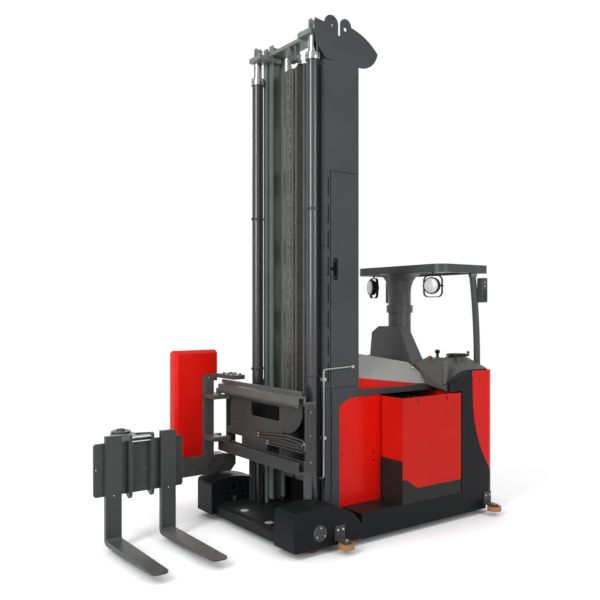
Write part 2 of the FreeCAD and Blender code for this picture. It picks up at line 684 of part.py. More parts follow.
def drive_unit():
    """Steered gear case with a vertical motor above it."""
    flange_top = FLOOR_Z + 14
    low = 2 * DRIVE_R + 25
    neck = cyl(NECK_R, flange_top - low, (DRIVE_X, DRIVE_Y, low), (0, 0, 1))
    flange = cyl(NECK_R + 25, 14, (DRIVE_X, DRIVE_Y, FLOOR_Z + 0.5), (0, 0, 1))
    motor = cyl(95, 250, (DRIVE_X, DRIVE_Y, flange_top), (0, 0, 1))
    side = DRIVE_Y + DRIVE_W / 2 + 12
    case = prism_y([(DRIVE_X - 75, low), (DRIVE_X - 70, DRIVE_R - 30), (DRIVE_X - 45, DRIVE_R - 70),
                    (DRIVE_X + 45, DRIVE_R - 70), (DRIVE_X + 70, DRIVE_R - 30), (DRIVE_X + 75, low)],
                   side, side + 70)
    lid = box(DRIVE_X - 75, DRIVE_X + 75, side - 60, side + 20, low, low + 27)
    stub = cyl(DRIVE_AXLE_R, DRIVE_W + 12, (DRIVE_X, DRIVE_Y - DRIVE_W / 2, DRIVE_R), (0, 1, 0))
    return join([neck, flange, motor, case, lid, stub])


def drive_wheel():
    """Drive wheel: hub and tyre."""
    y = DRIVE_Y - DRIVE_W / 2
    tyre = ring(DRIVE_R, DRIVE_HUB_R, DRIVE_W, (DRIVE_X, y, DRIVE_R), (0, 1, 0))
    hub = ring(DRIVE_HUB_R, DRIVE_AXLE_R + RUN_FIT, DRIVE_W - 6, (DRIVE_X, y + 3, DRIVE_R), (0, 1, 0))
    return tyre, hub


def seat_base():
    """Box under the seat, open below over the drive motor."""
    x0, x1 = SEAT_X - SEAT_W / 2, SEAT_X + SEAT_W / 2
    top = SEAT_TOP - SEAT_PAD
    rear, front = SEAT_REAR_Y - 70, SEAT_FRONT_Y + 40
    outer = box(x0, x1, rear, front, FLOOR_Z, top)
    inner = box(x0 + 15, x1 - 15, rear + 15, front - 15, FLOOR_Z - 1, top - 20)
    return outer.cut(inner)


def seat_cushion():
    """Seat cushion, as its plain closed form."""
    x0, x1 = SEAT_X - SEAT_W / 2, SEAT_X + SEAT_W / 2
    pad = box(x0, x1, SEAT_REAR_Y, SEAT_FRONT_Y, SEAT_TOP - SEAT_PAD + SEAT_GAP, SEAT_TOP)
    return rounded(pad, (0, 0, 1), 40)


def seat_back():
    """Backrest, as its plain closed form, leaning back."""
    x0, x1 = SEAT_X - SEAT_W / 2, SEAT_X + SEAT_W / 2
    foot, low, top = SEAT_TOP - SEAT_PAD + SEAT_GAP, SEAT_TOP + SEAT_GAP, BACK_TOP
    face, rear = SEAT_REAR_Y - SEAT_GAP, SEAT_REAR_Y - 65
    return prism_x([(face + 35, low), (rear + 35, top), (rear - 5, top), (rear, foot), (face, foot),
                    (face, low)], x0 + 25, x1 - 25)


def console():
    """Faceted desk along the left wall, with the boss and pin of the steering wheel."""
    out, inn, low, foot = HALF_W - WALL_T - 1, HALF_W - 420, DESK_Z - 190, RAIL_BOTTOM + 3
    stations = (
        (REAR_FRONT + 167, [(out, foot), (out, 1160), (out - 119, 1172), (inn, 1335), (inn, low)]),
        (REAR_FRONT + 9, [(out, foot), (out, 1250), (out - 150, DESK_TOP + 8), (inn, DESK_TOP), (inn, low)]),
        (REAR_FRONT - 131, [(out, low), (out, 1285), (out - 249, DESK_Z), (inn, DESK_Z - 12), (inn, low)]),
        (REAR_X + 135, [(out, low), (out, 1290), (out - 249, DESK_TOP), (inn, DESK_Z), (inn, low)]),
    )

    def section(station):
        x, points = station
        return Part.makePolygon([V(x, y, z) for y, z in points + points[:1]])

    desk = [Part.makeLoft([section(a), section(b)], True, True) for a, b in zip(stations, stations[1:])]
    plan = rear_block(WALL_T + 1, 1100, 1500)
    tail = desk.pop().common(plan)
    x, y, z = STEER_POS
    pin_foot = DESK_Z - 42
    boss = cyl(36, z - pin_foot - ROLL_GAP, (x, y, pin_foot), (0, 0, 1))
    pin = cyl(STEER_PIN_R, z - pin_foot + 16, (x, y, pin_foot), (0, 0, 1))
    lever = cyl(14, 70, (REAR_FRONT - 149, out - 150, DESK_Z - 56), (0, 0, 1))
    cup = cyl(26, 190, (REAR_FRONT + 150, out - 40, 1180), (0, 0, 1))
    over_rail = box(COVER_REAR + REAR_X, 0, 0, PANEL_Y + SEAT_GAP, 0, RAIL_TOP + SEAT_GAP)
    return join(desk + [tail, boss, pin, lever, cup]).cut(over_rail)


def steering_wheel():
    """Small wheel with a spinner knob, on the console."""
    x, y, z = STEER_POS
    mid = z + 14
    section = [(STEER_R, mid - 5), (STEER_R, mid + 5), (STEER_R - 5, mid + 10), (STEER_R - 15, mid + 10),
               (STEER_R - 20, mid + 5), (STEER_R - 20, mid - 5), (STEER_R - 15, mid - 10), (STEER_R - 5, mid - 10)]
    rim = face_of([(x + r, y, h) for r, h in section]).revolve(V(x, y, 0), V(0, 0, 1), 360)
    hub = cyl(24, 24, (x, y, z), (0, 0, 1))
    arm = box(0, STEER_R - 12, -9, 9, mid - 4, mid + 4)
    spokes = []
    for turn in (90, 210, 330):
        spoke = arm.copy()
        spoke.rotate(V(0, 0, 0), V(0, 0, 1), turn)
        spoke.translate(V(x, y, 0))
        spokes.append(spoke)
    reach = (STEER_R - 10) / math.sqrt(2)
    knob = cyl(14, 34, (x - reach, y + reach, z + 16), (0, 0, 1))
    bore = cyl(STEER_PIN_R + RUN_FIT, 18, (x, y, z), (0, 0, 1))
    return join([rim, hub, knob] + spokes).cut(bore)


def guard_column():
    """Thick round column with a faceted boot, a band, and a trumpet-shaped flare under the guard."""
    low = RAIL_BOTTOM + 15
    top = GUARD_TOP - GUARD_H
    x, y = COLUMN_X, COLUMN_Y
    flare_r, flare_h = 110.0, 170.0
    steps = 5
    curve = [(x + COLUMN_R + flare_r * (1 - math.cos(math.pi / 2 * i / steps)),
              top - flare_h + flare_h * math.sin(math.pi / 2 * i / steps)) for i in range(steps + 1)]
    profile = [(x, top - flare_h)] + curve + [(x, top)]
    flare = face_of([(px, y, pz) for px, pz in profile]).revolve(V(x, y, 0), V(0, 0, 1), 360)
    flare = flare.cut(box(x - 300, x - COLUMN_R, y - 300, y + 300, top - 300, top + 1))
    tube = cyl(COLUMN_R, top - low, (x, y, low), (0, 0, 1))
    boot = prism_x([(-290, low), (-290, BOOT_TOP - 60), (-200, BOOT_TOP), (82, BOOT_TOP), (300, 1310),
                    (300, low)], REAR_FRONT + 1, HOOD_TAIL - 5)
    lean = prism_y([(HOOD_TAIL, low), (HOOD_TAIL, BOOT_TOP + 1), (x + COLUMN_R + 8, BOOT_TOP + 1),
                    (HOOD_TAIL - 5, 1260), (HOOD_TAIL - 5, low)], -400, 400)
    band = cyl(COLUMN_R + 18, 72, (x, y, BAND_Z), (0, 0, 1))
    clamp = box(x - 30, x + 30, y - COLUMN_R - 45, y, BAND_Z, BAND_Z + 72)
    return join([tube, flare, boot.cut(lean), band, clamp])


def guard_post(foot_z):
    """Left rear post: upright from its foot, then curved forward to a collar under the guard."""
    top = GUARD_TOP - GUARD_H
    head = V(POST_X + 70, POST_Y, top + 30)
    low = V(POST_X, POST_Y, WALL_TOP + 20)
    path = Part.Wire([Part.makeLine(V(POST_X, POST_Y, foot_z), low),
                      Part.Arc(low, V(POST_X + 18, POST_Y, 1760), head).toShape()])
    section = many_sided(V(POST_X, POST_Y, foot_z), V(0, 0, 1), POST_R, 16)
    post = path.makePipeShell([section], True, False)
    foot = cyl(POST_R + 14, 12, (POST_X, POST_Y, foot_z), (0, 0, 1))
    collar = cyl(POST_R + 6, 36, (POST_X + 59, POST_Y, top - 36), (0, 0, 1))
    above = box(POST_X - 200, POST_X + 300, POST_Y - 150, POST_Y + 150, top, top + 100)
    speaker = rounded(box(POST_X - 45, POST_X + 25, POST_Y + 23, POST_Y + 85, 1885, 2110), (0, 1, 0), 14)
    return join([post, foot, collar, speaker]).cut(above)


def overhead_guard():
    """Guard frame with rounded front corners and cross bars, open between them."""
    z0 = GUARD_TOP - GUARD_H
    rim = 50.0
    outer = rounded(box(GUARD_REAR, GUARD_FRONT, -GUARD_HALF, GUARD_HALF, z0, GUARD_TOP), (0, 0, 1),
                    GUARD_CORNER, lambda p: p.x > GUARD_FRONT - 10)
    bar_rear, bar_front = GUARD_REAR + rim, GUARD_FRONT - 200
    inner = box(bar_rear, bar_front, -GUARD_HALF + rim, GUARD_HALF - rim, z0 - 1, GUARD_TOP + 1)
    count = 7
    pitch = 2 * (GUARD_HALF - rim) / (count + 1)
    bars = [box(bar_rear - 5, bar_front + 5, -GUARD_HALF + rim + i * pitch - 12,
                -GUARD_HALF + rim + i * pitch + 12, z0 + 20, GUARD_TOP - 10) for i in range(1, count + 1)]
    recess = box(GUARD_FRONT - 150, GUARD_FRONT - 40, -GUARD_HALF + 150, GUARD_HALF - 150, z0 - 1, z0 + 14)
    column = cyl(COLUMN_R + 115, 30, (COLUMN_X, COLUMN_Y, z0 - 5), (0, 0, 1))
    return cut(join([outer.cut(inner)] + bars), [recess.cut(column)])


def work_lamps():
    """Two round lamps under the guard's front edge, each in a rounded stirrup and turned outwards."""
    under = GUARD_TOP - GUARD_H
    x, z = GUARD_FRONT - 30, under - LAMP_R - 45
    side, low, high = LAMP_R + 16, LAMP_R + 30, LAMP_R + 18
    strap = 8.0
    lamps = []
    for y, turn in ((-330.0, -LAMP_TURN), (460.0, LAMP_TURN)):
        bowl = cyl(LAMP_R, 34, (6, 0, 0), (1, 0, 0))
        back = Part.makeCone(LAMP_R / 2, LAMP_R, 46, V(-40, 0, 0), V(1, 0, 0))
        outer = rounded(box(-12, 12, -side, side, -low, high), (1, 0, 0), 46)
        inner = rounded(box(-13, 13, strap - side, side - strap, strap - low, high - strap), (1, 0, 0), 40)
        lugs = cyl(7, 2 * side - 4, (0, 2 - side, 0), (0, 1, 0))
        hanger = cyl(8, under - z - high + 2, (0, 0, high - 2), (0, 0, 1))
        lamp = join([bowl, back, outer.cut(inner), lugs, hanger])
        lamp.rotate(V(0, 0, 0), V(0, 0, 1), turn)
        lamp.translate(V(x, y, z))
        lamps.append(lamp)
    return lamps


# ---------------------------------------------------------------- mast
def channel(front, rear, outside, depth, web, flange, z0, z1):
    """Left upright: a channel that opens towards the centreline."""
    inside = outside - depth
    outline = [(front, outside), (front, inside), (front - flange, inside), (front - flange, outside - web),
               (rear + flange, outside - web), (rear + flange, inside), (rear, inside), (rear, outside)]
    return prism_z(outline, z0, z1)


def outer_mast():
    """Two outer uprights tied by a ladder of rear cross plates."""
    upright = channel(UP_FRONT, UP_REAR, MAST_HALF_W, UP_DEPTH, UP_WEB, UP_FLANGE, UP_FOOT, MAST_TOP)
    pieces = both_sides(upright)
    z = UP_FOOT + 350
    while z + CROSS_H < MAST_TOP:
        pieces.append(box(UP_REAR - 12, UP_REAR, -MAST_HALF_W, MAST_HALF_W, z, z + CROSS_H))
        z += CROSS_PITCH
    return join(pieces)


def inner_mast():
    """Inner uprights, rear cross plates, top plates, sheave bracket, rod brackets and rollers."""
    upright = channel(IN_FRONT, IN_REAR, IN_OUT, IN_DEPTH, IN_WEB, IN_FLANGE, IN_FOOT, IN_TOP)
    pieces = both_sides(upright)
    z = UP_FOOT + 250
    while z + CROSS_H < IN_TOP - 250:
        pieces.append(box(IN_REAR, IN_REAR - CROSS_T, -IN_OUT, IN_OUT, z, z + CROSS_H))
        z += CROSS_PITCH
    pieces.append(box(IN_REAR, IN_REAR - CROSS_T, -IN_OUT, IN_OUT, IN_TOP - 450, IN_TOP - 230))
    tie_z = MAST_TOP - 75
    pieces.append(box(IN_REAR, SHEAVE_X + 40, -IN_OUT, IN_OUT, tie_z, tie_z + 30))
    for side in (-1, 1):
        ear = box(SHEAVE_X - 22, SHEAVE_X + 22, CHAIN_Y + side * (CHAIN_W / 2 + 3),
                  CHAIN_Y + side * (CHAIN_W / 2 + 15), SHEAVE_Z - 35, tie_z + 5)
        pin_hole = cyl(SHEAVE_PIN_R + RUN_FIT, 2 * CHAIN_W, (SHEAVE_X, CHAIN_Y - CHAIN_W, SHEAVE_Z), (0, 1, 0))
        pieces.append(ear.cut(pin_hole))
        pieces += rod_bracket(side)
    roller_r = (UP_FRONT - UP_FLANGE - (UP_REAR + UP_FLANGE)) / 2 - ROLL_GAP
    mid = (UP_FRONT + UP_REAR) / 2
    for z in MAST_ROLLERS:
        stub = cyl(30, IN_GAP + 4, (mid, IN_OUT, z), (0, 1, 0))
        roller = cyl(roller_r, ROLLER_W, (mid, IN_OUT + IN_GAP + 4, z), (0, 1, 0))
        pieces += both_sides(join([stub, roller]))
    return join(pieces)


def hose_channels():
    """Two upright channels on the inner mast's rear cross plates, for the hoses and cables of the head."""
    low, high, skin = UP_FOOT + 250, IN_TOP - 230, 4.0
    channels = []
    for y0, y1 in CHANNEL_SPANS:
        outer = box(IN_REAR, IN_REAR + CHANNEL_T, y0, y1, low, high)
        inner = box(IN_REAR - 1, IN_REAR + CHANNEL_T - skin, y0 + skin, y1 - skin, low - 1, high + 1)
        channels.append(outer.cut(inner))
    return channels


def rod_bracket(side):
    """Shelf from the inner upright over one rod, with a two-lobed upstand plate beside the rod head."""
    low, top = ROD_TOP, ROD_TOP + 40
    y0, y1, y2 = side * (IN_OUT - 60), side * IN_OUT, side * (CYL_Y + ROD_R + 8)
    arm = box(IN_FRONT - 90, CYL_X + 60, y0, y1, low, top)
    shelf = box(UP_FRONT + MOVE_GAP, CYL_X + 60, y1, y2, low, top)
    x, r, z, y = CYL_X - 5, 20.0, top + 72, side * (CYL_Y - 8)
    edges = [
        Part.makeLine(V(x - 2 * r, y, top - 5), V(x - 2 * r, y, z)),
        Part.Arc(V(x - 2 * r, y, z), V(x - r, y, z + r), V(x, y, z)).toShape(),
        Part.Arc(V(x, y, z), V(x + r, y, z + r), V(x + 2 * r, y, z)).toShape(),
        Part.makeLine(V(x + 2 * r, y, z), V(x + 2 * r, y, top - 5)),
        Part.makeLine(V(x + 2 * r, y, top - 5), V(x - 2 * r, y, top - 5)),
    ]
    upstand = Part.Face(Part.Wire(edges)).extrude(V(0, side * 12, 0))
    nut = cyl(14, 30, (CYL_X, side * (CYL_Y + 24), top - 4), (0, 0, 1))
    return [arm, shelf, upstand, nut]


def cylinder_tubes():
    """Two lift cylinder tubes with their glands, each with a tall shield plate in front of its foot."""
    low = UP_FOOT
    tube = ring(CYL_R, CYL_BORE, CYL_TOP - low - 20, (CYL_X, CYL_Y, low + 20), (0, 0, 1))
    foot = cyl(CYL_R, 20, (CYL_X, CYL_Y, low), (0, 0, 1))
    gland = ring(CYL_R + 8, ROD_R + RUN_FIT, GLAND_H, (CYL_X, CYL_Y, CYL_TOP), (0, 0, 1))
    ring_groove = ring(CYL_R + 10, CYL_R + 4, 6, (CYL_X, CYL_Y, CYL_TOP + GLAND_H - 18), (0, 0, 1))
    front = CYL_X + CYL_R
    shield = box(front, front + SHIELD_T, CYL_Y - 46, CYL_Y + 56, UP_FOOT, SHIELD_TOP)
    shield = rounded(shield, (1, 0, 0), 12, lambda p: p.z > SHIELD_TOP - 1)
    web = box(front - 12, front + 1, CYL_Y - 12, CYL_Y + 12, UP_FOOT, SHIELD_TOP - 30)
    return both_sides(join([foot, tube, gland.cut(ring_groove), shield, web]).cut(
        cyl(CYL_BORE, CYL_TOP - low, (CYL_X, CYL_Y, low + 20), (0, 0, 1))))


def cylinder_rods():
    """Two polished rods."""
    low = CYL_TOP - LIFT - 150
    return both_sides(cyl(ROD_R, ROD_TOP - low, (CYL_X, CYL_Y, low), (0, 0, 1)))


def chain_sheave():
    """Grooved sheave on its pin."""
    groove = SHEAVE_R - CHAIN_T / 2
    wheel = cyl(groove, CHAIN_W, (SHEAVE_X, CHAIN_Y - CHAIN_W / 2, SHEAVE_Z), (0, 1, 0))
    pin = cyl(SHEAVE_PIN_R, CHAIN_W + 36, (SHEAVE_X, CHAIN_Y - CHAIN_W / 2 - 18, SHEAVE_Z), (0, 1, 0))
    return join([wheel, pin])


def chain_fall(x, low):
    """One straight fall of the chain, from the sheave down."""
    return box(x - CHAIN_T / 2, x + CHAIN_T / 2, CHAIN_Y - CHAIN_W / 2, CHAIN_Y + CHAIN_W / 2, low, SHEAVE_Z)


def mast_cover():
    """Tall folded cover on the left of the mast, in two lengths, the lower one with a handle recess."""
    seat = MAST_HALF_W + SEAT_GAP
    y1, t = PANEL_Y, MAST_COVER_T
    f, r, flange = MAST_COVER_FRONT, MAST_COVER_REAR, UP_FRONT - 50
    fold = [(f, CYL_SIDE), (f, y1), (r, y1), (r, y1 - 80), (r + t, y1 - 80), (r + t, y1 - t),
            (flange, y1 - t), (flange, seat), (flange + t, seat), (flange + t, CYL_SIDE)]
    lower = prism_z(fold, MAST_COVER_LOW, MAST_COVER_SPLIT - 2)
    recess = box(HANDLE_X - 15, HANDLE_X + 15, y1 - 8, y1 + 1, HANDLE_Z - 60, HANDLE_Z + 60)
    upper = prism_z(fold, MAST_COVER_SPLIT + 2, MAST_TOP - 330)
    return [lower.cut(recess), upper]


def mast_pipe():
    """Steel pipe from the foot of the left cylinder up the cover's front corner, then back along its side."""
    x, y = MAST_COVER_FRONT + 13 + PIPE_R, PANEL_Y + 6 + PIPE_R
    port = CYL_Y + CYL_R - SEAT_GAP
    high = MAST_COVER_LOW + 150
    pipe = bent_bar([(CYL_X - 15, port, 494), (x, y, 494), (x, y, high), (-502, y, high + 10)], PIPE_R, 22)
    face = MAST_COVER_FRONT + SEAT_GAP
    clips = [box(face, x + PIPE_R + 3, PANEL_Y - 25, y + PIPE_R + 3, z, z + 25) for z in (800, high - 90)]
    union = box(-524, -500, PANEL_Y + SEAT_GAP, y + 11, high - 2, high + 22)
    return join([pipe, union] + clips)


def sheave_guard():
    """Leaf-shaped guard plate over the hose sheaves at the mast's left top, with a slot and two lobes."""
    thick = 8.0
    y, lift = PANEL_Y - MAST_COVER_T - thick - SEAT_GAP, MAST_TOP - 4130.0

    def at(x, z):
        return V(x, y, z + lift)

    edges = [
        Part.makeLine(at(-160, 3930), at(-155, 4112)),
        Part.makeLine(at(-155, 4112), at(-252, 4100)),
        Part.Arc(at(-252, 4100), at(-330, 4169), at(-388, 4110)).toShape(),
        Part.makeLine(at(-388, 4110), at(-388, 4021)),
        Part.makeLine(at(-388, 4021), at(-412, 4021)),
        Part.makeLine(at(-412, 4021), at(-412, 4130)),
        Part.Arc(at(-412, 4130), at(-462, 4170), at(-524, 4112)).toShape(),
        Part.Arc(at(-524, 4112), at(-683, 4055), at(-812, 3955)).toShape(),
        Part.Arc(at(-812, 3955), at(-752, 3853), at(-620, 3806)).toShape(),
        Part.makeLine(at(-620, 3806), at(-570, 3806)),
        Part.makeLine(at(-570, 3806), at(-570, 3700)),
        Part.makeLine(at(-570, 3700), at(-330, 3700)),
        Part.makeLine(at(-330, 3700), at(-330, 3814)),
        Part.makeLine(at(-330, 3814), at(-270, 3814)),
        Part.makeLine(at(-270, 3814), at(-160, 3930)),
    ]
    plate = Part.Face(Part.Wire(edges)).extrude(V(0, thick, 0))
    holes = [cyl(r, 12, at(x, z) - V(0, 2, 0), (0, 1, 0)) for x, z, r in ((-330, 4080, 16), (-462, 4085, 16))]
    return cut(plate, holes)


# ---------------------------------------------------------------- carriage and traverse frame
def traverse_frame():
    """Lift carriage side plates with their mast rollers, the cross rails, cross beams and end plates."""
    slot0, slot1 = RAIL_FRONT - SLOT_FLOOR - SLOT, RAIL_FRONT - SLOT_FLOOR
    low_top = LOW_RAIL_Z + LOW_RAIL_H
    top_low = TOP_RAIL_Z - TOP_RAIL_H
    top = box(RAIL_BACK, RAIL_FRONT, -TRAV_HALF, TRAV_HALF, top_low, TOP_RAIL_Z)
    top = top.cut(box(slot0, slot1, -TRAV_HALF - 1, TRAV_HALF + 1, top_low - 1, TOP_RAIL_Z - SLOT_FLOOR))
    low = box(RAIL_BACK, RAIL_FRONT, -TRAV_HALF, TRAV_HALF, LOW_RAIL_Z, low_top)
    low = low.cut(box(slot0, slot1, -TRAV_HALF - 1, TRAV_HALF + 1, LOW_RAIL_Z + SLOT_FLOOR, low_top + 1))
    strip = box(RAIL_BACK, RAIL_BACK + 14, -TRAV_HALF - 50, TRAV_HALF - 50, TOP_RAIL_Z - 1, TOP_RAIL_Z + STRIP_H)
    mid = box(RAIL_BACK - 40, RAIL_BACK, -TRAV_HALF, TRAV_HALF, *MID_BEAM)
    pieces = [top, low, mid, strip]
    half_t = SIDE_PLATE_T / 2
    outline = [(RAIL_BACK, LOW_RAIL_Z), (RAIL_BACK, TOP_RAIL_Z), (-30, TOP_RAIL_Z), (-230, ANCHOR_TOP + 5),
               (CARRIAGE_REAR, ANCHOR_TOP + 5), (CARRIAGE_REAR, LOW_RAIL_Z + 40), (-230, LOW_RAIL_Z)]
    for side in (-1, 1):
        pieces.append(box(-70, RAIL_BACK, side * TRAV_HALF, side * (TRAV_HALF - 15), LOW_RAIL_Z, TOP_RAIL_Z - 47))
        y = side * SIDE_PLATE_Y
        pieces.append(prism_y(outline, y - half_t, y + half_t))
    for top_z in (ANCHOR_TOP, ANCHOR_LOW):
        pieces.append(box(CHAIN_X - 25, CHAIN_X + 25, -SIDE_PLATE_Y, SIDE_PLATE_Y, top_z - 60, top_z))
    pieces.append(box(RAIL_BACK - 30, RAIL_BACK + 8, HOSE_BOX[0], HOSE_BOX[1], low_top - 1, HOSE_BOX[2]))
    roller_r = (IN_FRONT - IN_FLANGE - (IN_REAR + IN_FLANGE)) / 2 - ROLL_GAP
    mid_x = (IN_FRONT + IN_REAR) / 2
    y0 = SIDE_PLATE_Y + half_t
    for z in CAR_ROLLERS:
        stub = cyl(25, IN_OUT - IN_DEPTH + 4 - y0, (mid_x, y0, z), (0, 1, 0))
        roller = cyl(roller_r, ROLLER_W, (mid_x, IN_OUT - IN_DEPTH + 4, z), (0, 1, 0))
        pieces += both_sides(join([stub, roller]))
    return join(pieces).cut(carriage_plate())


def carriage_plate():
    """Plate bolted across the front of the carriage, with a long window and a curved lower left corner."""
    y0, y1, z0, z1 = FACE_WINDOW
    right, left, top, low = -TRAV_HALF + 78, TRAV_HALF - 50, TOP_RAIL_Z - 1, MID_BEAM[1]
    edges = [
        Part.makeLine(V(RAIL_BACK, right, low), V(RAIL_BACK, right, top)),
        Part.makeLine(V(RAIL_BACK, right, top), V(RAIL_BACK, left, top)),
        Part.makeLine(V(RAIL_BACK, left, top), V(RAIL_BACK, left, 1010)),
        Part.Arc(V(RAIL_BACK, left, 1010), V(RAIL_BACK, 440, 880), V(RAIL_BACK, 300, 862)).toShape(),
        Part.makeLine(V(RAIL_BACK, 300, 862), V(RAIL_BACK, 250, low)),
        Part.makeLine(V(RAIL_BACK, 250, low), V(RAIL_BACK, right, low)),
    ]
    plate = Part.Face(Part.Wire(edges)).extrude(V(-FACE_PLATE_T, 0, 0))
    return plate.cut(box(RAIL_BACK - FACE_PLATE_T - 1, RAIL_BACK + 1, y0, y1, z0, z1))


def traverse_hoses():
    """Two hoses that loop across the front of the carriage, from a block on the middle beam to the junction."""
    x = RAIL_BACK + HOSE_R + SEAT_GAP
    right, end = TRAV_HALF, HOSE_BOX[1] + SEAT_GAP
    low = LOW_RAIL_Z + LOW_RAIL_H + 63
    outer = [(x, -63, 800), (x, 368, 836), (x, right, 824), (x, right - 4, low), (x, end, low)]
    inner = [(x, -63, 777), (x, 372, 812), (x, right - 26, 800), (x, right - 28, low + 22), (x, end, low + 22)]
    block = box(x - HOSE_R, x + HOSE_R, -92, -62, HOSE_BOX[2] + SEAT_GAP, 812)
    return join([bent_bar(outer, HOSE_R, 38), bent_bar(inner, HOSE_R, 18), block])


def head_frame():
    """C-shaped head plate that hugs the rails, with its guide rollers and the arm of the swing bearing."""
    x_in = RAIL_FRONT + 15
    y0, y1 = PLATE_Y - PLATE_T, PLATE_Y
    hook_low = TOP_RAIL_Z + 46
    plate = prism_y([(-110, ARM_BOTTOM + 58), (-110, ARM_TOP - 10), (x_in, ARM_TOP), (x_in, hook_low),
                     (-122, hook_low), (-122, PLATE_TOP), (PLATE_FRONT - 25, PLATE_TOP),
                     (PLATE_FRONT, PLATE_TOP - 25), (PLATE_FRONT, ARM_BOTTOM), (-60, ARM_BOTTOM)], y0, y1)
    arm = box(0, PIVOT_X, PLATE_Y - ARM_W, PLATE_Y, ARM_BOTTOM, ARM_TOP)
    boss = cyl(85, ARM_TOP - ARM_BOTTOM, (PIVOT_X, PIVOT_Y, ARM_BOTTOM), (0, 0, 1))
    bore = cyl(KING_R + RUN_FIT, ARM_TOP - ARM_BOTTOM + 40, (PIVOT_X, PIVOT_Y, ARM_BOTTOM - 20), (0, 0, 1))
    cap = box(-60, 60, PLATE_Y - PLATE_T, PLATE_Y + 240, hook_low, PLATE_TOP)
    pieces = [plate, arm, boss, cap]
    slot_mid = RAIL_FRONT - SLOT_FLOOR - SLOT / 2
    guide_r = SLOT / 2 - ROLL_GAP
    top_low = TOP_RAIL_Z - TOP_RAIL_H
    low_top = LOW_RAIL_Z + LOW_RAIL_H
    bands = ((top_low - 45, top_low - 8, 1), (low_top + 8, low_top + 45, -1))
    for y in (PLATE_Y - 10, PLATE_Y + 150):
        for z0, z1, up in bands:
            pieces.append(box(slot_mid - 15, PLATE_FRONT, y - 20, y + 20, z0, z1))
            pieces.append(cyl(guide_r, 75, (slot_mid, y, z0 if up > 0 else z1), (0, 0, up)))
    for z0, z1, _ in bands:
        pieces.append(box(x_in, PLATE_FRONT, PLATE_Y - 30, PLATE_Y + 170, z0, z1))
    holes = [cyl(12, PLATE_T + 2, (x, y0 - 1, z), (0, 1, 0)) for x, z in ((118, 474), (60, 1210))]
    return cut(join(pieces), [bore] + holes)


def head_cover():
    """Red cover on the arm, its roof bevelled towards both sides and its front edge towards the left."""
    y1 = PLATE_Y - PLATE_T - 4
    y0 = y1 - HEAD_COVER_T
    x0, x1 = 60.0, HEAD_COVER_FRONT
    step = RAIL_FRONT + 15
    low, top, shelf = ARM_TOP + SEAT_GAP, HEAD_COVER_TOP, TOP_RAIL_Z + 20
    body = prism_y([(step, low), (step, shelf), (x0, shelf), (x0, top), (x1, top), (x1, low)], y0, y1)
    bevel = 26.0
    roof = [prism_x([(y, top + 1), (y, top - bevel), (y + turn * bevel * 1.5, top + 1)], x0 - 1, x1 + 1)
            for y, turn in ((y0 - 1, 1), (y1 + 1, -1))]
    front = prism_z([(x1 + 1, y1 + 1), (x1 - bevel, y1 + 1), (x1 + 1, y1 - bevel)], low - 1, top + 1)
    return cut(body, roof + [front])


def fork_carriage():
    """Fork carriage plate with its two ribs, recessed middle plate and the hub that swings on the arm."""
    px, py = PIVOT_X, PIVOT_Y
    front = py + FORK_FACE - FORK_T - 0.5
    plate = rounded(box(px - CARR_HALF, px + CARR_HALF, front - CARR_T, front, CARR_BOTTOM, CARR_TOP),
                    (0, 1, 0), 22)
    bolt_holes = [cyl(GUARD_HOLE_R, CARR_T + 2, (px + side * GUARD_HOLE_X, front + 1, GUARD_HOLE_Z), (0, -1, 0))
                  for side in (-1, 1)]
    middle = box(px - RIB_X, px + RIB_X, front - 8, front + 1, 435, 780)
    pieces = [cut(plate, bolt_holes + [middle])]
    half_rib = RIB_T / 2
    for side in (-1, 1):
        x = px + side * RIB_X
        outline = [(py + 40, 560), (py + 40, 800), (front + 20, 860), (front + 42, 850), (front + 42, 386),
                   (front + 22, 366), (front + 10, 366)]
        pieces.append(prism_x(outline, x - half_rib, x + half_rib))
    pieces.append(cyl(80, 290, (px, py, ARM_TOP + ROLL_GAP), (0, 0, 1)))
    pieces.append(box(px - RIB_X, px + RIB_X, py, front, 560, 585))
    pieces.append(box(px - RIB_X, px + RIB_X, py, front, 780, 805))
    pieces.append(box(px - RIB_X, px + RIB_X, front - CARR_T - 12, front - 8, 800, 838))
    pieces.append(cyl(KING_R, 330, (px, py, ARM_BOTTOM - 6), (0, 0, 1)))
    pieces.append(cyl(KING_R + 18, 12, (px, py, ARM_BOTTOM - 12.5), (0, 0, 1)))
    return join(pieces)


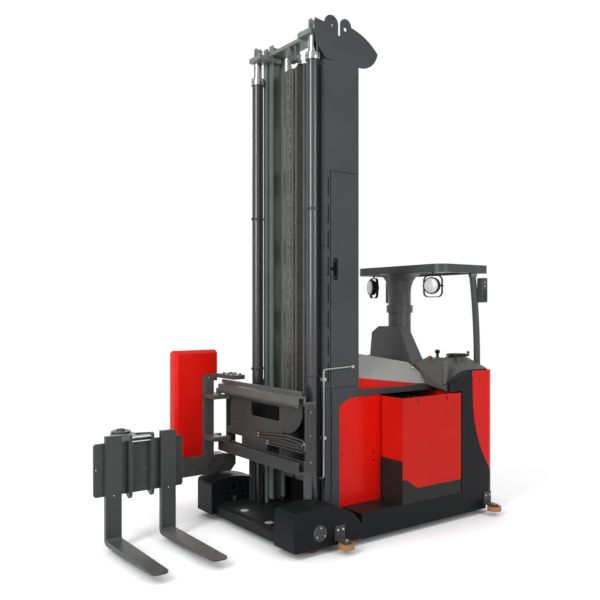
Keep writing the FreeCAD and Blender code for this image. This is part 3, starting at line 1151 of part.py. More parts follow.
def fork():
    """One fork about x = 0: upright shank, bent heel, flat top, underside that rises to the tip."""
    face = PIVOT_Y + FORK_FACE
    back = face - FORK_T
    tip = face + FORK_LEN
    top = FORK_BOTTOM + FORK_T
    inner = HEEL_INNER_R
    turn = math.sqrt(0.5)
    half = FORK_W / 2

    def at(y, z):
        return V(-half, y, z)

    edges = [
        Part.makeLine(at(back, FORK_TOP), at(back, FORK_BOTTOM + HEEL_R)),
        Part.Arc(at(back, FORK_BOTTOM + HEEL_R), at(back + HEEL_R * (1 - turn), FORK_BOTTOM + HEEL_R * (1 - turn)),
                 at(back + HEEL_R, FORK_BOTTOM)).toShape(),
        Part.makeLine(at(back + HEEL_R, FORK_BOTTOM), at(face + 250, FORK_BOTTOM)),
        Part.makeLine(at(face + 250, FORK_BOTTOM), at(tip, top - FORK_TIP_T)),
        Part.makeLine(at(tip, top - FORK_TIP_T), at(tip, top)),
        Part.makeLine(at(tip, top), at(face + inner, top)),
        Part.Arc(at(face + inner, top), at(face + inner * (1 - turn), top + inner * (1 - turn)),
                 at(face, top + inner)).toShape(),
        Part.makeLine(at(face, top + inner), at(face, FORK_TOP)),
        Part.makeLine(at(face, FORK_TOP), at(back, FORK_TOP)),
    ]
    solid = Part.Face(Part.Wire(edges)).extrude(V(FORK_W, 0, 0))
    return rounded(solid, (0, 0, 1), TIP_R, lambda p: p.y > tip - 1)


def forks():
    """The pair of forks."""
    pair = []
    for side in (-1, 1):
        one = fork().copy()
        one.translate(V(PIVOT_X + side * FORK_HALF_SPREAD, 0, 0))
        pair.append(one)
    return pair


# ---------------------------------------------------------------- write the nodes
def main():
    os.makedirs("parts", exist_ok=True)
    write("base_frame", base_frame())
    write("tray_rollers", tray_rollers())
    write("wheel_covers", both_sides(wheel_cover()))
    write("load_axles", both_sides(load_axle()))
    tyre, hub = load_wheel()
    write("load_wheel_tyre_left", tyre)
    write("load_wheel_hub_left", hub)
    write("load_wheel_tyre_right", other_side(tyre))
    write("load_wheel_hub_right", other_side(hub))
    write("front_step", front_step())
    brackets = []
    for name, x, side in (("front_left", GUIDE_FRONT_X, 1), ("front_right", GUIDE_FRONT_X, -1),
                          ("rear_left", GUIDE_REAR_X, 1), ("rear_right", GUIDE_REAR_X, -1)):
        bracket, roller = guide_roller_at(x, side)
        brackets.append(bracket)
        write("guide_roller_" + name, roller)
    write("guide_roller_brackets", brackets)
    write("front_side_panels", front_panels())
    write("top_frame", top_rails())
    write("hood", hood())
    write("battery_case", battery_case())
    write("battery_cells", battery_cells())
    write("right_side_cover", right_cover())
    write("hydraulic_unit", hydraulic_unit())
    write("rear_body", rear_body())
    write("rear_corner_panels", rear_corner_panels())
    write("operator_floor", floor())
    write("drive_unit", drive_unit())
    tyre, hub = drive_wheel()
    write("drive_wheel_tyre", tyre)
    write("drive_wheel_hub", hub)
    write("pedals", pedals())
    write("seat_base", seat_base())
    write("seat_cushion", seat_cushion())
    write("seat_back", seat_back())
    write("console", console())
    write("steering_wheel", steering_wheel())
    write("guard_column", guard_column())
    write("guard_posts", [guard_post(WALL_TOP), other_side(guard_post(RIGHT_WALL_TOP))])
    write("overhead_guard", overhead_guard())
    write("work_lamps", work_lamps())
    write("outer_mast", outer_mast())
    write("inner_mast", inner_mast())
    write("hose_channels", hose_channels())
    write("lift_cylinders", cylinder_tubes())
    write("lift_rods", cylinder_rods())
    write("chain_sheave", chain_sheave())
    write("front_chain", chain_fall(CHAIN_X, ANCHOR_TOP))
    write("rear_chain", chain_fall(CHAIN_X - 2 * SHEAVE_R, SHEAVE_Z - LIFT - 250))
    write("mast_cover", mast_cover())
    write("mast_pipe", mast_pipe())
    write("sheave_guard", sheave_guard())
    write("traverse_frame", traverse_frame())
    write("carriage_plate", carriage_plate())
    write("traverse_hoses", traverse_hoses())
    write("head_frame", head_frame())
    write("head_cover", head_cover())
    write("fork_carriage", fork_carriage())
    write("forks", forks())


main()
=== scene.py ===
"""Finishes, fine pieces and studio of a sit-down turret reach truck.

Lengths are in metres: +X points to the fork end, +Y to the truck's left, +Z up.
"""
import json
import math
import bmesh
import bpy
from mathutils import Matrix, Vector


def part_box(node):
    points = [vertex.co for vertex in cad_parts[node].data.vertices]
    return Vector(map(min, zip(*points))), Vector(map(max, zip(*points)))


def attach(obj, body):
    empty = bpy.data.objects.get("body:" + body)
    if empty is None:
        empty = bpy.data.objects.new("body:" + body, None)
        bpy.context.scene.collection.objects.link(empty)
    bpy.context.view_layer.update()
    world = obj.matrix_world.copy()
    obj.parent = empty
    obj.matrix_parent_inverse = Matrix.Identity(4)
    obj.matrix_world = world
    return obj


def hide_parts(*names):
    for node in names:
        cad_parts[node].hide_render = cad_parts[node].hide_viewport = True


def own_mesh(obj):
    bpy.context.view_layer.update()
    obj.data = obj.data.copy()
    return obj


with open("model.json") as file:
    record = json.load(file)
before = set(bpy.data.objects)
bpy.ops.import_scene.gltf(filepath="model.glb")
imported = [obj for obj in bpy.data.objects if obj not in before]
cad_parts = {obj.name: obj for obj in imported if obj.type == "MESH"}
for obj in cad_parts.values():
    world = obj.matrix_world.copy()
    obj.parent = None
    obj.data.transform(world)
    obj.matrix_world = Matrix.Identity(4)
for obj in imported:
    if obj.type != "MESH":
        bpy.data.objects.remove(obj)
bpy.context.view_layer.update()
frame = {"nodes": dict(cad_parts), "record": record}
nodes = frame["nodes"]
record = frame["record"]

UP = Vector((0, 0, 1))
FORE = Vector((1, 0, 0))
LEFT = Vector((0, 1, 0))
SIDES = (1, -1)  # the truck's left and right
SQUARE = ((-1, -1), (1, -1), (1, 1), (-1, 1))
CORNERS = ("front_left", "front_right", "rear_left", "rear_right")


def span(node):
    """Lowest and highest corner of a node, as vectors."""
    low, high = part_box(node)
    return Vector(low), Vector(high)


def middle_of(node):
    low, high = span(node)
    return (low + high) / 2


AXLE_X = middle_of("load_wheel_tyre_left").x


def at(x, y, z):
    """A point measured from the load axle, on the floor."""
    return Vector((x + AXLE_X, y, z))


# ---------------- camera, lights, floor
LENS = 42.6
FILM_WIDTH = 36.0
FRAME_RISE = 8.5 / 600  # upward shift, in widths of the frame
SIGHT = 100.0
EYE = (3.203, 4.917, 1.83)  # from the load axle
LOOK = Vector((-0.587, -0.81, 0.0))
SOFTBOXES = (  # name, place, aim, width, height, watts
    ("key", (7.0, 2.5, 4.6), (0, 0, 2.2), 2.0, 6.0, 470),
    ("fill", (-1.5, 8.5, 4.0), (0, 0, 1.2), 3.0, 4.5, 230),
    ("rim", (-3.0, -7.0, 6.0), (0, 0, 1.5), 4.0, 3.0, 150),
)
SKY_GLOW = 0.42
SKY_TINT = (0.95, 0.97, 1.0, 1)
FLOOR_HALF = 40.0
FLOOR_TONE = (0.88, 0.88, 0.88, 1)
SHADE_REACH = 0.55  # distance within which the truck dims the floor's glow: painted contact shadow
OPEN_LOW, OPEN_HIGH = 0.25, 0.95
GLOW_LOW, GLOW_HIGH = 0.02, 0.46
FADE_START, FADE_END = 1.8, 4.5


def added(name, data):
    """A new object in the scene."""
    thing = bpy.data.objects.new(name, data)
    bpy.context.scene.collection.objects.link(thing)
    return thing


def tree_of(block):
    """The node tree of a new world or material."""
    block.use_nodes = True
    return block.node_tree


def camera():
    data = bpy.data.cameras.new("camera")
    data.sensor_width = FILM_WIDTH
    data.lens = LENS
    data.shift_y = FRAME_RISE
    data.clip_end = SIGHT
    cam = added("camera", data)
    cam.rotation_euler = LOOK.normalized().to_track_quat("-Z", "Y").to_euler()
    cam.location = at(*EYE)
    bpy.context.scene.camera = cam


def softbox(name, place, aim, wide, tall, power):
    """A rectangular lamp that points at a spot."""
    data = bpy.data.lights.new(name, "AREA")
    data.shape = "RECTANGLE"
    data.size = wide
    data.size_y = tall
    data.energy = power
    lamp = added(name, data)
    lamp.location = place
    lamp.rotation_euler = (Vector(aim) - Vector(place)).to_track_quat("-Z", "Y").to_euler()


def node(tree, kind, inputs=None, **settings):
    """A new shader node; an input is a socket to link or a value to hold."""
    made = tree.nodes.new("ShaderNode" + kind)
    for name, value in settings.items():
        setattr(made, name, value)
    for key, value in (inputs or {}).items():
        if isinstance(value, bpy.types.NodeSocket):
            tree.links.new(value, made.inputs[key])
        else:
            made.inputs[key].default_value = value
    return made


def background_rays(tree):
    """1 where a ray looks at the background straight, in a mirror or through glass, 0 where it lights."""
    path = node(tree, "LightPath").outputs
    total = path["Is Camera Ray"]
    for name in ("Is Glossy Ray", "Is Transmission Ray"):
        total = node(tree, "Math", {0: total, 1: path[name]}, operation="MAXIMUM").outputs[0]
    return total


def mixed(tree, factor, first, second):
    """Mix of two shaders."""
    return node(tree, "MixShader", {0: factor, 1: first, 2: second}).outputs[0]


def glow(tree, kind, strength, colour=(1, 1, 1, 1)):
    """A background or emission shader."""
    return node(tree, kind, {"Color": colour, "Strength": strength}).outputs[0]


def studio_world():
    world = bpy.data.worlds.new("studio")
    bpy.context.scene.world = world
    tree = tree_of(world)
    tree.nodes.clear()
    soft = glow(tree, "Background", SKY_GLOW, SKY_TINT)
    white = glow(tree, "Background", 1.0)
    node(tree, "OutputWorld", {"Surface": mixed(tree, background_rays(tree), soft, white)})


def floor_material():
    """Pale floor that keeps the truck's shadow, with a glow dimmed near the truck as painted contact shadow,
    and that fades into the white background further out.
    """
    material = bpy.data.materials.new("floor")
    tree = tree_of(material)
    tree.nodes.clear()
    diffuse = node(tree, "BsdfDiffuse", {"Color": FLOOR_TONE}).outputs[0]
    # the floor's glow is dimmed where the truck is near: painted contact shadow
    open_air = node(tree, "AmbientOcclusion", {"Distance": SHADE_REACH}).outputs["AO"]
    strength = ranged(tree, open_air, OPEN_LOW, OPEN_HIGH, GLOW_LOW, GLOW_HIGH)
    lift = node(tree, "AddShader", {0: diffuse, 1: glow(tree, "Emission", strength)}).outputs[0]
    place = node(tree, "TexCoord").outputs["Object"]
    far = node(tree, "VectorMath", {0: place}, operation="LENGTH").outputs["Value"]
    fade = node(tree, "MapRange", {"Value": far, "From Min": FADE_START, "From Max": FADE_END},
                interpolation_type="SMOOTHSTEP").outputs["Result"]
    seen = mixed(tree, fade, lift, glow(tree, "Emission", 1.0))
    node(tree, "OutputMaterial", {"Surface": mixed(tree, background_rays(tree), diffuse, seen)})
    return material


def stage():
    bpy.context.scene.view_settings.view_transform = "Standard"
    studio_world()
    for box in SOFTBOXES:
        softbox(*box)
    mesh = bpy.data.meshes.new("floor")
    corners = [(x * FLOOR_HALF, y * FLOOR_HALF, 0) for x, y in SQUARE]
    mesh.from_pydata(corners, [], [(0, 1, 2, 3)])
    mesh.materials.append(floor_material())
    added("floor", mesh)


# ---------------- materials
NOISE_LOW, NOISE_HIGH = 0.3, 0.7  # most of a noise's values lie between these
COAT_ROUGH = 0.15
EDGE_WIDTH = 0.003  # rubbed band along an edge
DUST = (0.2, 0.195, 0.18)
# colour of the painted sheen streaks on the mast steel
SHEEN_STREAK_TONE = (0.17, 0.175, 0.17)
RUBBED_RAIL = (0.17, 0.17, 0.165)
FOOT_BLACK = (0.018, 0.018, 0.017)
FOOT_LOW = 0.353  # top of the battery's black foot along the side
FOOT_STEP = 0.436  # at the side's front edge
FOOT_FRONT = 0.59  # on the front wall
STEP_START, STEP_END = 0.17, 0.04  # from the case's front
SHINE_START, SHINE_FULL = 0.105, 0.085  # under the carriage's top
THREADS = 160.0  # weave of the seat cloth
LENS_CELLS = 90.0


def blend(tree, factor, colour, other):
    """Mix a socket's colour with a fixed one."""
    return node(tree, "Mix", {0: factor, 6: colour, 7: (*other, 1)}, data_type="RGBA").outputs[2]


def noise(tree, where, scale, detail):
    return node(tree, "TexNoise", {"Scale": scale, "Detail": detail, "Vector": where}).outputs["Fac"]


def ranged(tree, value, a, b, low, high):
    """A value between a and b mapped to low and high."""
    ends = {"Value": value, "From Min": a, "From Max": b, "To Min": low, "To Max": high}
    return node(tree, "MapRange", ends).outputs["Result"]


def spread_out(tree, value, low, high):
    """A noise's values stretched over low to high."""
    return ranged(tree, value, NOISE_LOW, NOISE_HIGH, low, high)


def product(tree, a, b):
    return node(tree, "Math", {0: a, 1: b}, operation="MULTIPLY").outputs[0]


def part_of(tree, vector, axis):
    """One coordinate of a vector."""
    return node(tree, "SeparateXYZ", {0: vector}).outputs[axis]


def worn_edges(tree):
    """1 on edges that have rubbed bright, 0 elsewhere."""
    bevelled = node(tree, "Bevel", {"Radius": EDGE_WIDTH}, samples=4).outputs["Normal"]
    normal = node(tree, "NewGeometry").outputs["Normal"]
    turn = node(tree, "VectorMath", {0: bevelled, 1: normal}, operation="DOT_PRODUCT")
    return ranged(tree, turn.outputs["Value"], 0.985, 0.8, 0.0, 1.0)


def facing_up(tree):
    """1 on surfaces that face up, where dust settles; on the forks this dust also stands for painted light
    on their tops.
    """
    normal = node(tree, "NewGeometry").outputs["Normal"]
    return ranged(tree, part_of(tree, normal, "Z"), 0.6, 1.0, 0.0, 1.0)


def surface(name, colour, rough, metal=0.0, vary=0.1, patch=3.0, grain=900.0, bump=0.02, coat=0.0, spec=0.3,
            dust=0.0, wear=0.0, wear_colour=(0.3, 0.3, 0.3), spread=0.12, tint=None, relief=None):
    """A finish with broad and fine colour change, uneven gloss, grain, rubbed edges and settled dust."""
    material = bpy.data.materials.new(name)
    tree = tree_of(material)
    link = tree.links.new
    shader = tree.nodes["Principled BSDF"].inputs
    held = {"Metallic": metal, "Coat Weight": coat, "Coat Roughness": COAT_ROUGH, "Specular IOR Level": spec}
    for key, value in held.items():
        shader[key].default_value = value
    place = node(tree, "TexCoord").outputs["Object"]
    broad = noise(tree, place, patch, 6.0)
    fine = noise(tree, place, grain, 2.0)
    ramp = node(tree, "ValToRGB", {"Fac": broad})
    for end, (spot, scale) in enumerate(((NOISE_LOW, 1 - vary), (NOISE_HIGH, 1 + vary))):
        ramp.color_ramp.elements[end].position = spot
        ramp.color_ramp.elements[end].color = (*[min(1.0, c * scale) for c in colour], 1)
    tone = ramp.outputs["Color"]
    if tint:
        tone = tint(tree, place, tone)
    if wear:
        spots = ranged(tree, noise(tree, place, 22.0, 5.0), 0.42, 0.62, 0.0, wear)
        tone = blend(tree, product(tree, worn_edges(tree), spots), tone, wear_colour)
    if dust:
        settled = product(tree, facing_up(tree), spread_out(tree, broad, dust * 0.3, dust))
        tone = blend(tree, settled, tone, DUST)
    link(tone, shader["Base Color"])
    link(spread_out(tree, broad, rough * (1 - spread), min(1.0, rough * (1 + spread))), shader["Roughness"])
    height = relief(tree, place) if relief else fine
    grainy = node(tree, "Bump", {"Strength": bump, "Distance": 0.001, "Height": height})
    link(grainy.outputs["Normal"], shader["Normal"])
    return material


def sheen_streaks(tree, place, tone):
    """Long upright lighter streaks on the steel: painted sheen."""
    stretch = node(tree, "Mapping", {"Vector": place, "Scale": (40.0, 40.0, 0.5)}).outputs["Vector"]
    # the lighter streaks are painted sheen
    rubbed = ranged(tree, noise(tree, stretch, 1.0, 4.0), 0.45, 0.75, 0.0, 0.45)
    return blend(tree, rubbed, tone, SHEEN_STREAK_TONE)


def rail_shine(tree, place, tone):
    """Paint rubbed towards bare steel along the carriage's upper rail."""
    top = span("traverse_frame")[1].z
    band = ranged(tree, part_of(tree, place, "Z"), top - SHINE_START, top - SHINE_FULL, 0.0, 0.5)
    patchy = spread_out(tree, noise(tree, place, 9.0, 5.0), 0.6, 1.0)
    return blend(tree, product(tree, band, patchy), tone, RUBBED_RAIL)


def weave(tree, place):
    """Height of a plain weave: threads over and under in both directions."""
    waves = [node(tree, "TexWave", {"Scale": THREADS, "Vector": place}, bands_direction=way).outputs["Fac"]
             for way in ("X", "Y")]
    return product(tree, *waves)


def lens_cells(tree, place):
    """Fine cells of a pressed lens."""
    return node(tree, "TexVoronoi", {"Scale": LENS_CELLS, "Vector": place}).outputs["Distance"]


def battery_foot(tree, place, tone):
    """Black paint on the battery case's lower part: a level line in front, a bevelled one on the side."""
    front = span("battery_case")[1].x
    run = part_of(tree, place, "X")
    line = ranged(tree, run, front - STEP_START, front - STEP_END, FOOT_LOW, FOOT_STEP)
    in_front = ranged(tree, run, front - 0.002, front - 0.0015, 0.0, 1.0)
    level = node(tree, "Mix", {0: in_front, 2: line, 3: FOOT_FRONT}).outputs[0]
    under = node(tree, "Math", {0: part_of(tree, place, "Z"), 1: level}, operation="LESS_THAN").outputs[0]
    return blend(tree, under, tone, FOOT_BLACK)


RED = (0.68, 0.007, 0.003)
DEEP_RED = (0.56, 0.01, 0.005)
GREY = (0.036, 0.038, 0.04)
FINISH = {
    "frame_grey": surface("frame_grey_paint", GREY, 0.42, bump=0.05, dust=0.35, wear=0.35),
    "mast_grey": surface("mast_grey_paint", (0.041, 0.044, 0.05), 0.38, bump=0.05, wear=0.35),
    "channel_grey": surface("channel_grey_paint", (0.108, 0.112, 0.102), 0.4, bump=0.05, wear=0.3,
                            tint=sheen_streaks),
    "signal_red": surface("signal_red_paint", RED, 0.3, vary=0.04, coat=0.12, bump=0.012, spec=0.1,
                          wear=0.2, wear_colour=(0.45, 0.05, 0.03)),
    "hood_grey": surface("hood_grey_texture", (0.325, 0.322, 0.308), 0.55, grain=1500.0, bump=0.15,
                         vary=0.05),
    "interior_grey": surface("interior_grey_texture", (0.09, 0.089, 0.083), 0.5, grain=1500.0, bump=0.2,
                             vary=0.06, dust=0.2),
    # The forks' heavy dust is partly dust and partly painted light on the blades' top faces.
    "fork_steel": surface("fork_paint", (0.042, 0.045, 0.045), 0.36, wear=0.8, dust=0.65, bump=0.04),
    "bare_steel": surface("bare_steel", (0.42, 0.42, 0.42), 0.3, metal=1.0),
    "polished_rod": surface("polished_rod", (0.34, 0.34, 0.35), 0.16, metal=1.0, vary=0.04, bump=0.0,
                            spread=0.02),
    "cast_hub": surface("cast_hub", (0.045, 0.045, 0.045), 0.6, bump=0.3, grain=300.0),
    "polyurethane": surface("polyurethane", (0.17, 0.035, 0.02), 0.45, dust=0.2, wear=0.3),
    "drive_rubber": surface("drive_rubber", (0.02, 0.02, 0.02), 0.7),
    "roller_tan": surface("roller_tan", (0.36, 0.17, 0.07), 0.5, vary=0.15),
    "chain_steel": surface("chain_steel", (0.27, 0.268, 0.25), 0.32, metal=0.9, vary=0.45, patch=30.0),
    "black_plastic": surface("black_plastic", (0.01, 0.01, 0.011), 0.4, bump=0.1, grain=1500.0, spec=0.15),
    "hose_rubber": surface("hose_rubber", (0.022, 0.022, 0.021), 0.22, spec=0.8),
    "seat_fabric": surface("seat_fabric", (0.018, 0.018, 0.02), 0.85, bump=0.6, relief=weave, vary=0.2,
                           patch=9.0),
    "battery_lead": surface("battery_lead", (0.025, 0.025, 0.028), 0.5, dust=0.2),
}
BATTERY_PAINT = surface("battery_paint", DEEP_RED, 0.34, vary=0.04, coat=0.1, bump=0.012, spec=0.1,
                        tint=battery_foot)
# Near-black copies of the frame grey for the base frame, wheel covers, front step and rear body: painted
# shade for the dark low down near the floor.
SHADED_LOWER_PAINT = surface("lower_frame_shaded_paint", (0.0055, 0.0065, 0.0072), 0.42, spec=0.12, bump=0.05, dust=0.05,
                      wear=0.3)
SHADED_REAR_PAINT = surface("rear_body_shaded_paint", (0.0095, 0.0105, 0.012), 0.44, spec=0.12, bump=0.06, dust=0.1,
                     wear=0.25)
# A much lighter copy of the mast grey, standing for light falling on the uprights' webs: painted light.
LIT_PROFILE_PAINT = surface("mast_profile_lit_steel", (0.186, 0.209, 0.192), 0.34, metal=0.3, bump=0.03, wear=0.5,
                        tint=sheen_streaks)
TUBE_PAINT = surface("cylinder_tube", (0.068, 0.07, 0.072), 0.23, metal=0.6, bump=0.0, vary=0.04,
                     spread=0.02)
CARRIAGE_PAINT = surface("carriage_paint", (0.04, 0.041, 0.04), 0.42, metal=0.05, bump=0.06, dust=0.35,
                         wear=0.9, wear_colour=(0.42, 0.42, 0.41), tint=rail_shine)
# Lighter than the frame grey, standing for light on the head's plate, which lies in shade: painted light.
LIT_HEAD_PAINT = surface("head_lit_paint", (0.078, 0.075, 0.072), 0.38, bump=0.06, dust=0.3, wear=0.8)
# Lighter copies of the frame grey for the guard, its posts and its column, standing for the light on their
# lit faces: painted light.
LIT_GUARD_PAINT = surface("guard_lit_paint", (0.054, 0.056, 0.057), 0.36, bump=0.05, dust=0.2, wear=0.3)
LIT_COLUMN_PAINT = surface("column_lit_paint", (0.088, 0.088, 0.088), 0.34, bump=0.05, dust=0.2, wear=0.3)
# A dark copy of the chain steel for the rear fall, which hangs in the mast's shade: painted shade.
SHADED_CHAIN = surface("rear_chain_shaded_steel", (0.085, 0.083, 0.078), 0.42, metal=0.4, vary=0.25, patch=30.0)
DARK_BOLT = surface("dark_bolt", (0.14, 0.14, 0.13), 0.35, metal=0.8, vary=0.2, patch=60.0)
DEEP_BLACK = surface("deep_black", (0.004, 0.004, 0.004), 0.5, spec=0.08)
LENS_GLASS = surface("lamp_lens", (0.62, 0.63, 0.61), 0.16, coat=0.8, bump=0.8, relief=lens_cells, vary=0.05)
YELLOW_CHROMATE = surface("plated_steel", (0.5, 0.48, 0.42), 0.28, metal=1.0, vary=0.1, patch=40.0)
RED_PLASTIC = surface("red_plastic", (0.55, 0.015, 0.01), 0.35)
LABEL = surface("blank_plate", (0.42, 0.42, 0.41), 0.4)
OWN_FINISH = {
    "battery_case": BATTERY_PAINT, "base_frame": SHADED_LOWER_PAINT, "wheel_covers": SHADED_LOWER_PAINT,
    "front_step": SHADED_LOWER_PAINT, "rear_body": SHADED_REAR_PAINT, "inner_mast": LIT_PROFILE_PAINT,
    "outer_mast": LIT_PROFILE_PAINT, "lift_cylinders": TUBE_PAINT, "traverse_frame": CARRIAGE_PAINT,
    "carriage_plate": CARRIAGE_PAINT, "head_frame": LIT_HEAD_PAINT, "overhead_guard": LIT_GUARD_PAINT,
    "guard_posts": LIT_GUARD_PAINT, "guard_column": LIT_COLUMN_PAINT, "load_axles": FINISH["cast_hub"],
}


def dress_nodes():
    """Every node gets a finish of its own or its slot's."""
    for part in record["subparts"]:
        for spot in nodes[part["node"]].material_slots:
            spot.link = "OBJECT"
            spot.material = OWN_FINISH.get(part["node"], FINISH[part["material_slot"]])


# ---------------- mesh tools
SHARP_EDGE = math.radians(35.0)


def basis(axis):
    """Two directions square to an axis and to each other."""
    axis = Vector(axis).normalized()
    across = axis.cross(UP if abs(axis.z) < 0.9 else FORE).normalized()
    return axis, across, axis.cross(across)


def circle(centre, across, up, count, wide, tall=None, turn=0.0):
    """Points of a circle, or of an ellipse where its two radii differ."""
    tall = wide if tall is None else tall
    angles = [turn + 2 * math.pi * i / count for i in range(count)]
    return [centre + across * wide * math.cos(a) + up * tall * math.sin(a) for a in angles]


class Piece:
    """One visible piece, put together from closed forms."""

    def __init__(self):
        self.mesh = bmesh.new()

    def _points(self, places):
        return [self.mesh.verts.new(Vector(place)) for place in places]

    def lathe(self, foot, axis, profile, sides=24, turn=0.0):
        """Closed revolve: radius and height along the axis, from the first end to the last."""
        along, across, up = basis(axis)
        loops = []
        for radius, height in profile:
            centre = Vector(foot) + along * height
            if radius < 1e-6:
                loops.append(self._points([centre]))
            else:
                loops.append(self._points(circle(centre, across, up, sides, radius, turn=turn)))
        self._skin(loops, sides)

    def _skin(self, loops, sides):
        """Faces between rings of points, with both ends closed."""
        for first, second in zip(loops, loops[1:]):
            for i in range(sides):
                j = (i + 1) % sides
                spots = (first, i), (first, j), (second, j), (second, i)
                ring = list(dict.fromkeys(loop[k % len(loop)] for loop, k in spots))
                if len(ring) > 2:
                    self.mesh.faces.new(ring)
        if len(loops[0]) > 1:
            self.mesh.faces.new(list(reversed(loops[0])))
        if len(loops[-1]) > 1:
            self.mesh.faces.new(loops[-1])

    def ring(self, centre, axis, radius, thick, sides=28, around=10, flat=1.0):
        """Round or flattened ring about an axis."""
        along, across, up = basis(axis)
        loops = []
        for out in circle(Vector(), across, up, sides, 1.0):
            middle = Vector(centre) + out * radius
            loops.append(self._points(circle(middle, out, along, around, thick, thick * flat)))
        for i, loop in enumerate(loops):
            after = loops[(i + 1) % sides]
            for k in range(around):
                m = (k + 1) % around
                self.mesh.faces.new([loop[k], after[k], after[m], loop[m]])

    def prism(self, outline, push):
        """Flat outline pushed along a vector."""
        low = self._points(outline)
        high = self._points([Vector(p) + Vector(push) for p in outline])
        for i in range(len(outline)):
            j = (i + 1) % len(outline)
            self.mesh.faces.new([low[i], low[j], high[j], high[i]])
        self.mesh.faces.new(list(reversed(low)))
        self.mesh.faces.new(high)

    def holed(self, outline, hole, push):
        """Flat outline with one hole, pushed along a vector."""
        edges = []
        for loop in (outline, hole):
            verts = self._points(loop)
            edges += [self.mesh.edges.new((verts[i - 1], verts[i])) for i in range(len(verts))]
        flat = bmesh.ops.triangle_fill(self.mesh, use_beauty=True, edges=edges)["geom"]
        faces = [item for item in flat if isinstance(item, bmesh.types.BMFace)]
        grown = bmesh.ops.extrude_face_region(self.mesh, geom=faces, use_keep_orig=True)["geom"]
        for vert in grown:
            if isinstance(vert, bmesh.types.BMVert):
                vert.co += Vector(push)

    def slab(self, low, high, chamfer):
        """Block whose corners are all cut, so that its edges catch the light."""
        low, high = Vector(low), Vector(high)
        made = bmesh.ops.create_cube(self.mesh, size=1.0)["verts"]
        middle, size = (low + high) / 2, high - low
        for vert in made:
            vert.co = Vector(middle[i] + vert.co[i] * size[i] for i in range(3))
        edges = list({edge for vert in made for edge in vert.link_edges})
        bmesh.ops.bevel(self.mesh, geom=edges, offset=chamfer, segments=2, affect="EDGES", profile=0.6)

    def block(self, middle, reach, chamfer):
        """A slab given by its middle and its half size."""
        self.slab(middle - Vector(reach), middle + Vector(reach), chamfer)

    def sweep(self, points, radius, sides=10, flat=1.0):
        """Round or flattened bar along points, square to its run."""
        points = [Vector(p) for p in points]
        loops = []
        for i, point in enumerate(points):
            run = points[min(i + 1, len(points) - 1)] - points[max(i - 1, 0)]
            across, up = basis(run)[1:]
            loops.append(self._points(circle(point, across, up, sides, radius, radius * flat)))
        self._skin(loops, sides)

    def show(self, name, slot, finish=None, body="chassis"):
        """Make the object, in its slot's finish or its own, and tell what it rides on."""
        bmesh.ops.recalc_face_normals(self.mesh, faces=self.mesh.faces)
        data = bpy.data.meshes.new(name)
        self.mesh.to_mesh(data)
        self.mesh.free()
        data.materials.append(finish or FINISH[slot])
        data.shade_smooth()
        data.set_sharp_from_angle(angle=SHARP_EDGE)
        piece = added(name, data)
        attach(piece, body)
        return piece


# ---------------- fasteners
PANEL_SCREWS = ((0.21, 1.085), (0.028, 0.66), (0.06, 0.275), (0.4, 0.275))  # back from the front, height
COVER_SCREW_ROWS = 7
COVER_SCREW_IN = 0.022  # from the mast cover's upright edges
CORNER_SCREW_Z = (1.2, 0.8)
HUB_CIRCLE = 0.042  # radius of the bolts round each axle cap
DRIVE_CIRCLE = 0.075
BEARING_CIRCLE = 0.058
CYLINDER_FOOT_Z = (0.35, 0.7, 1.02)
CROSSHEAD_BOLT_Y, ROD_HEAD_Y = 0.31, 0.429
CROSSHEAD_RISE = 0.04  # from the rods' tops to the shelf that they carry
PLATE_BOLTS_HIGH = (-0.21, 0.03, 0.3)
PLATE_BOLTS_LOW = (-0.05, 0.18)
END_PLATE_Z = (0.66, 0.86, 1.04)
HEAD_PLATE_OUT = 0.04  # outer face of the head's plate, from its red cover
HEAD_BOLTS = ((0.03, 0.45), (0.17, 0.45), (-0.06, 1.23), (0.16, 1.215))  # x from the load axle, z
HUB_TOP = 0.8204  # top of the swing bearing
RIB_GAP = 0.155  # between the fork carriage's ribs
FORK_HALF = 0.226  # from the king pin to each fork


def bolt(piece, foot, axis, size):
    """Hexagon bolt on a washer; size is the thread, in metres."""
    axis = Vector(axis).normalized()
    washer, head, top = size * 1.05, size * 0.9, size * 0.75
    piece.lathe(foot, axis, [(washer, 0), (washer, size * 0.14), (washer * 0.94, size * 0.18)], 20)
    foot = Vector(foot) + axis * size * 0.17
    piece.lathe(foot, axis, [(head, 0), (head, top * 0.82), (head * 0.86, top)], 6, 0.2)


def screw(piece, foot, axis, size):
    """Button screw with a round socket."""
    profile = [(size, 0), (size * 0.96, size * 0.2), (size * 0.8, size * 0.42), (size * 0.45, size * 0.52),
               (size * 0.42, size * 0.22), (0, size * 0.2)]
    piece.lathe(foot, axis, profile, 16)


def rows(xs, ys, zs, axis, size):
    """Places of one kind of bolt at every mix of x, y and z."""
    return [((x, y, z), axis, size) for x in xs for y in ys for z in zs]


def fasteners(name, places, body="chassis", finish=YELLOW_CHROMATE, kind=bolt, slot="bare_steel"):
    """Many bolts or screws of one body as one mesh; each place is a foot, an axis and a size."""
    piece = Piece()
    for foot, axis, size in places:
        kind(piece, foot, axis, size)
    piece.show(name, slot, finish, body)


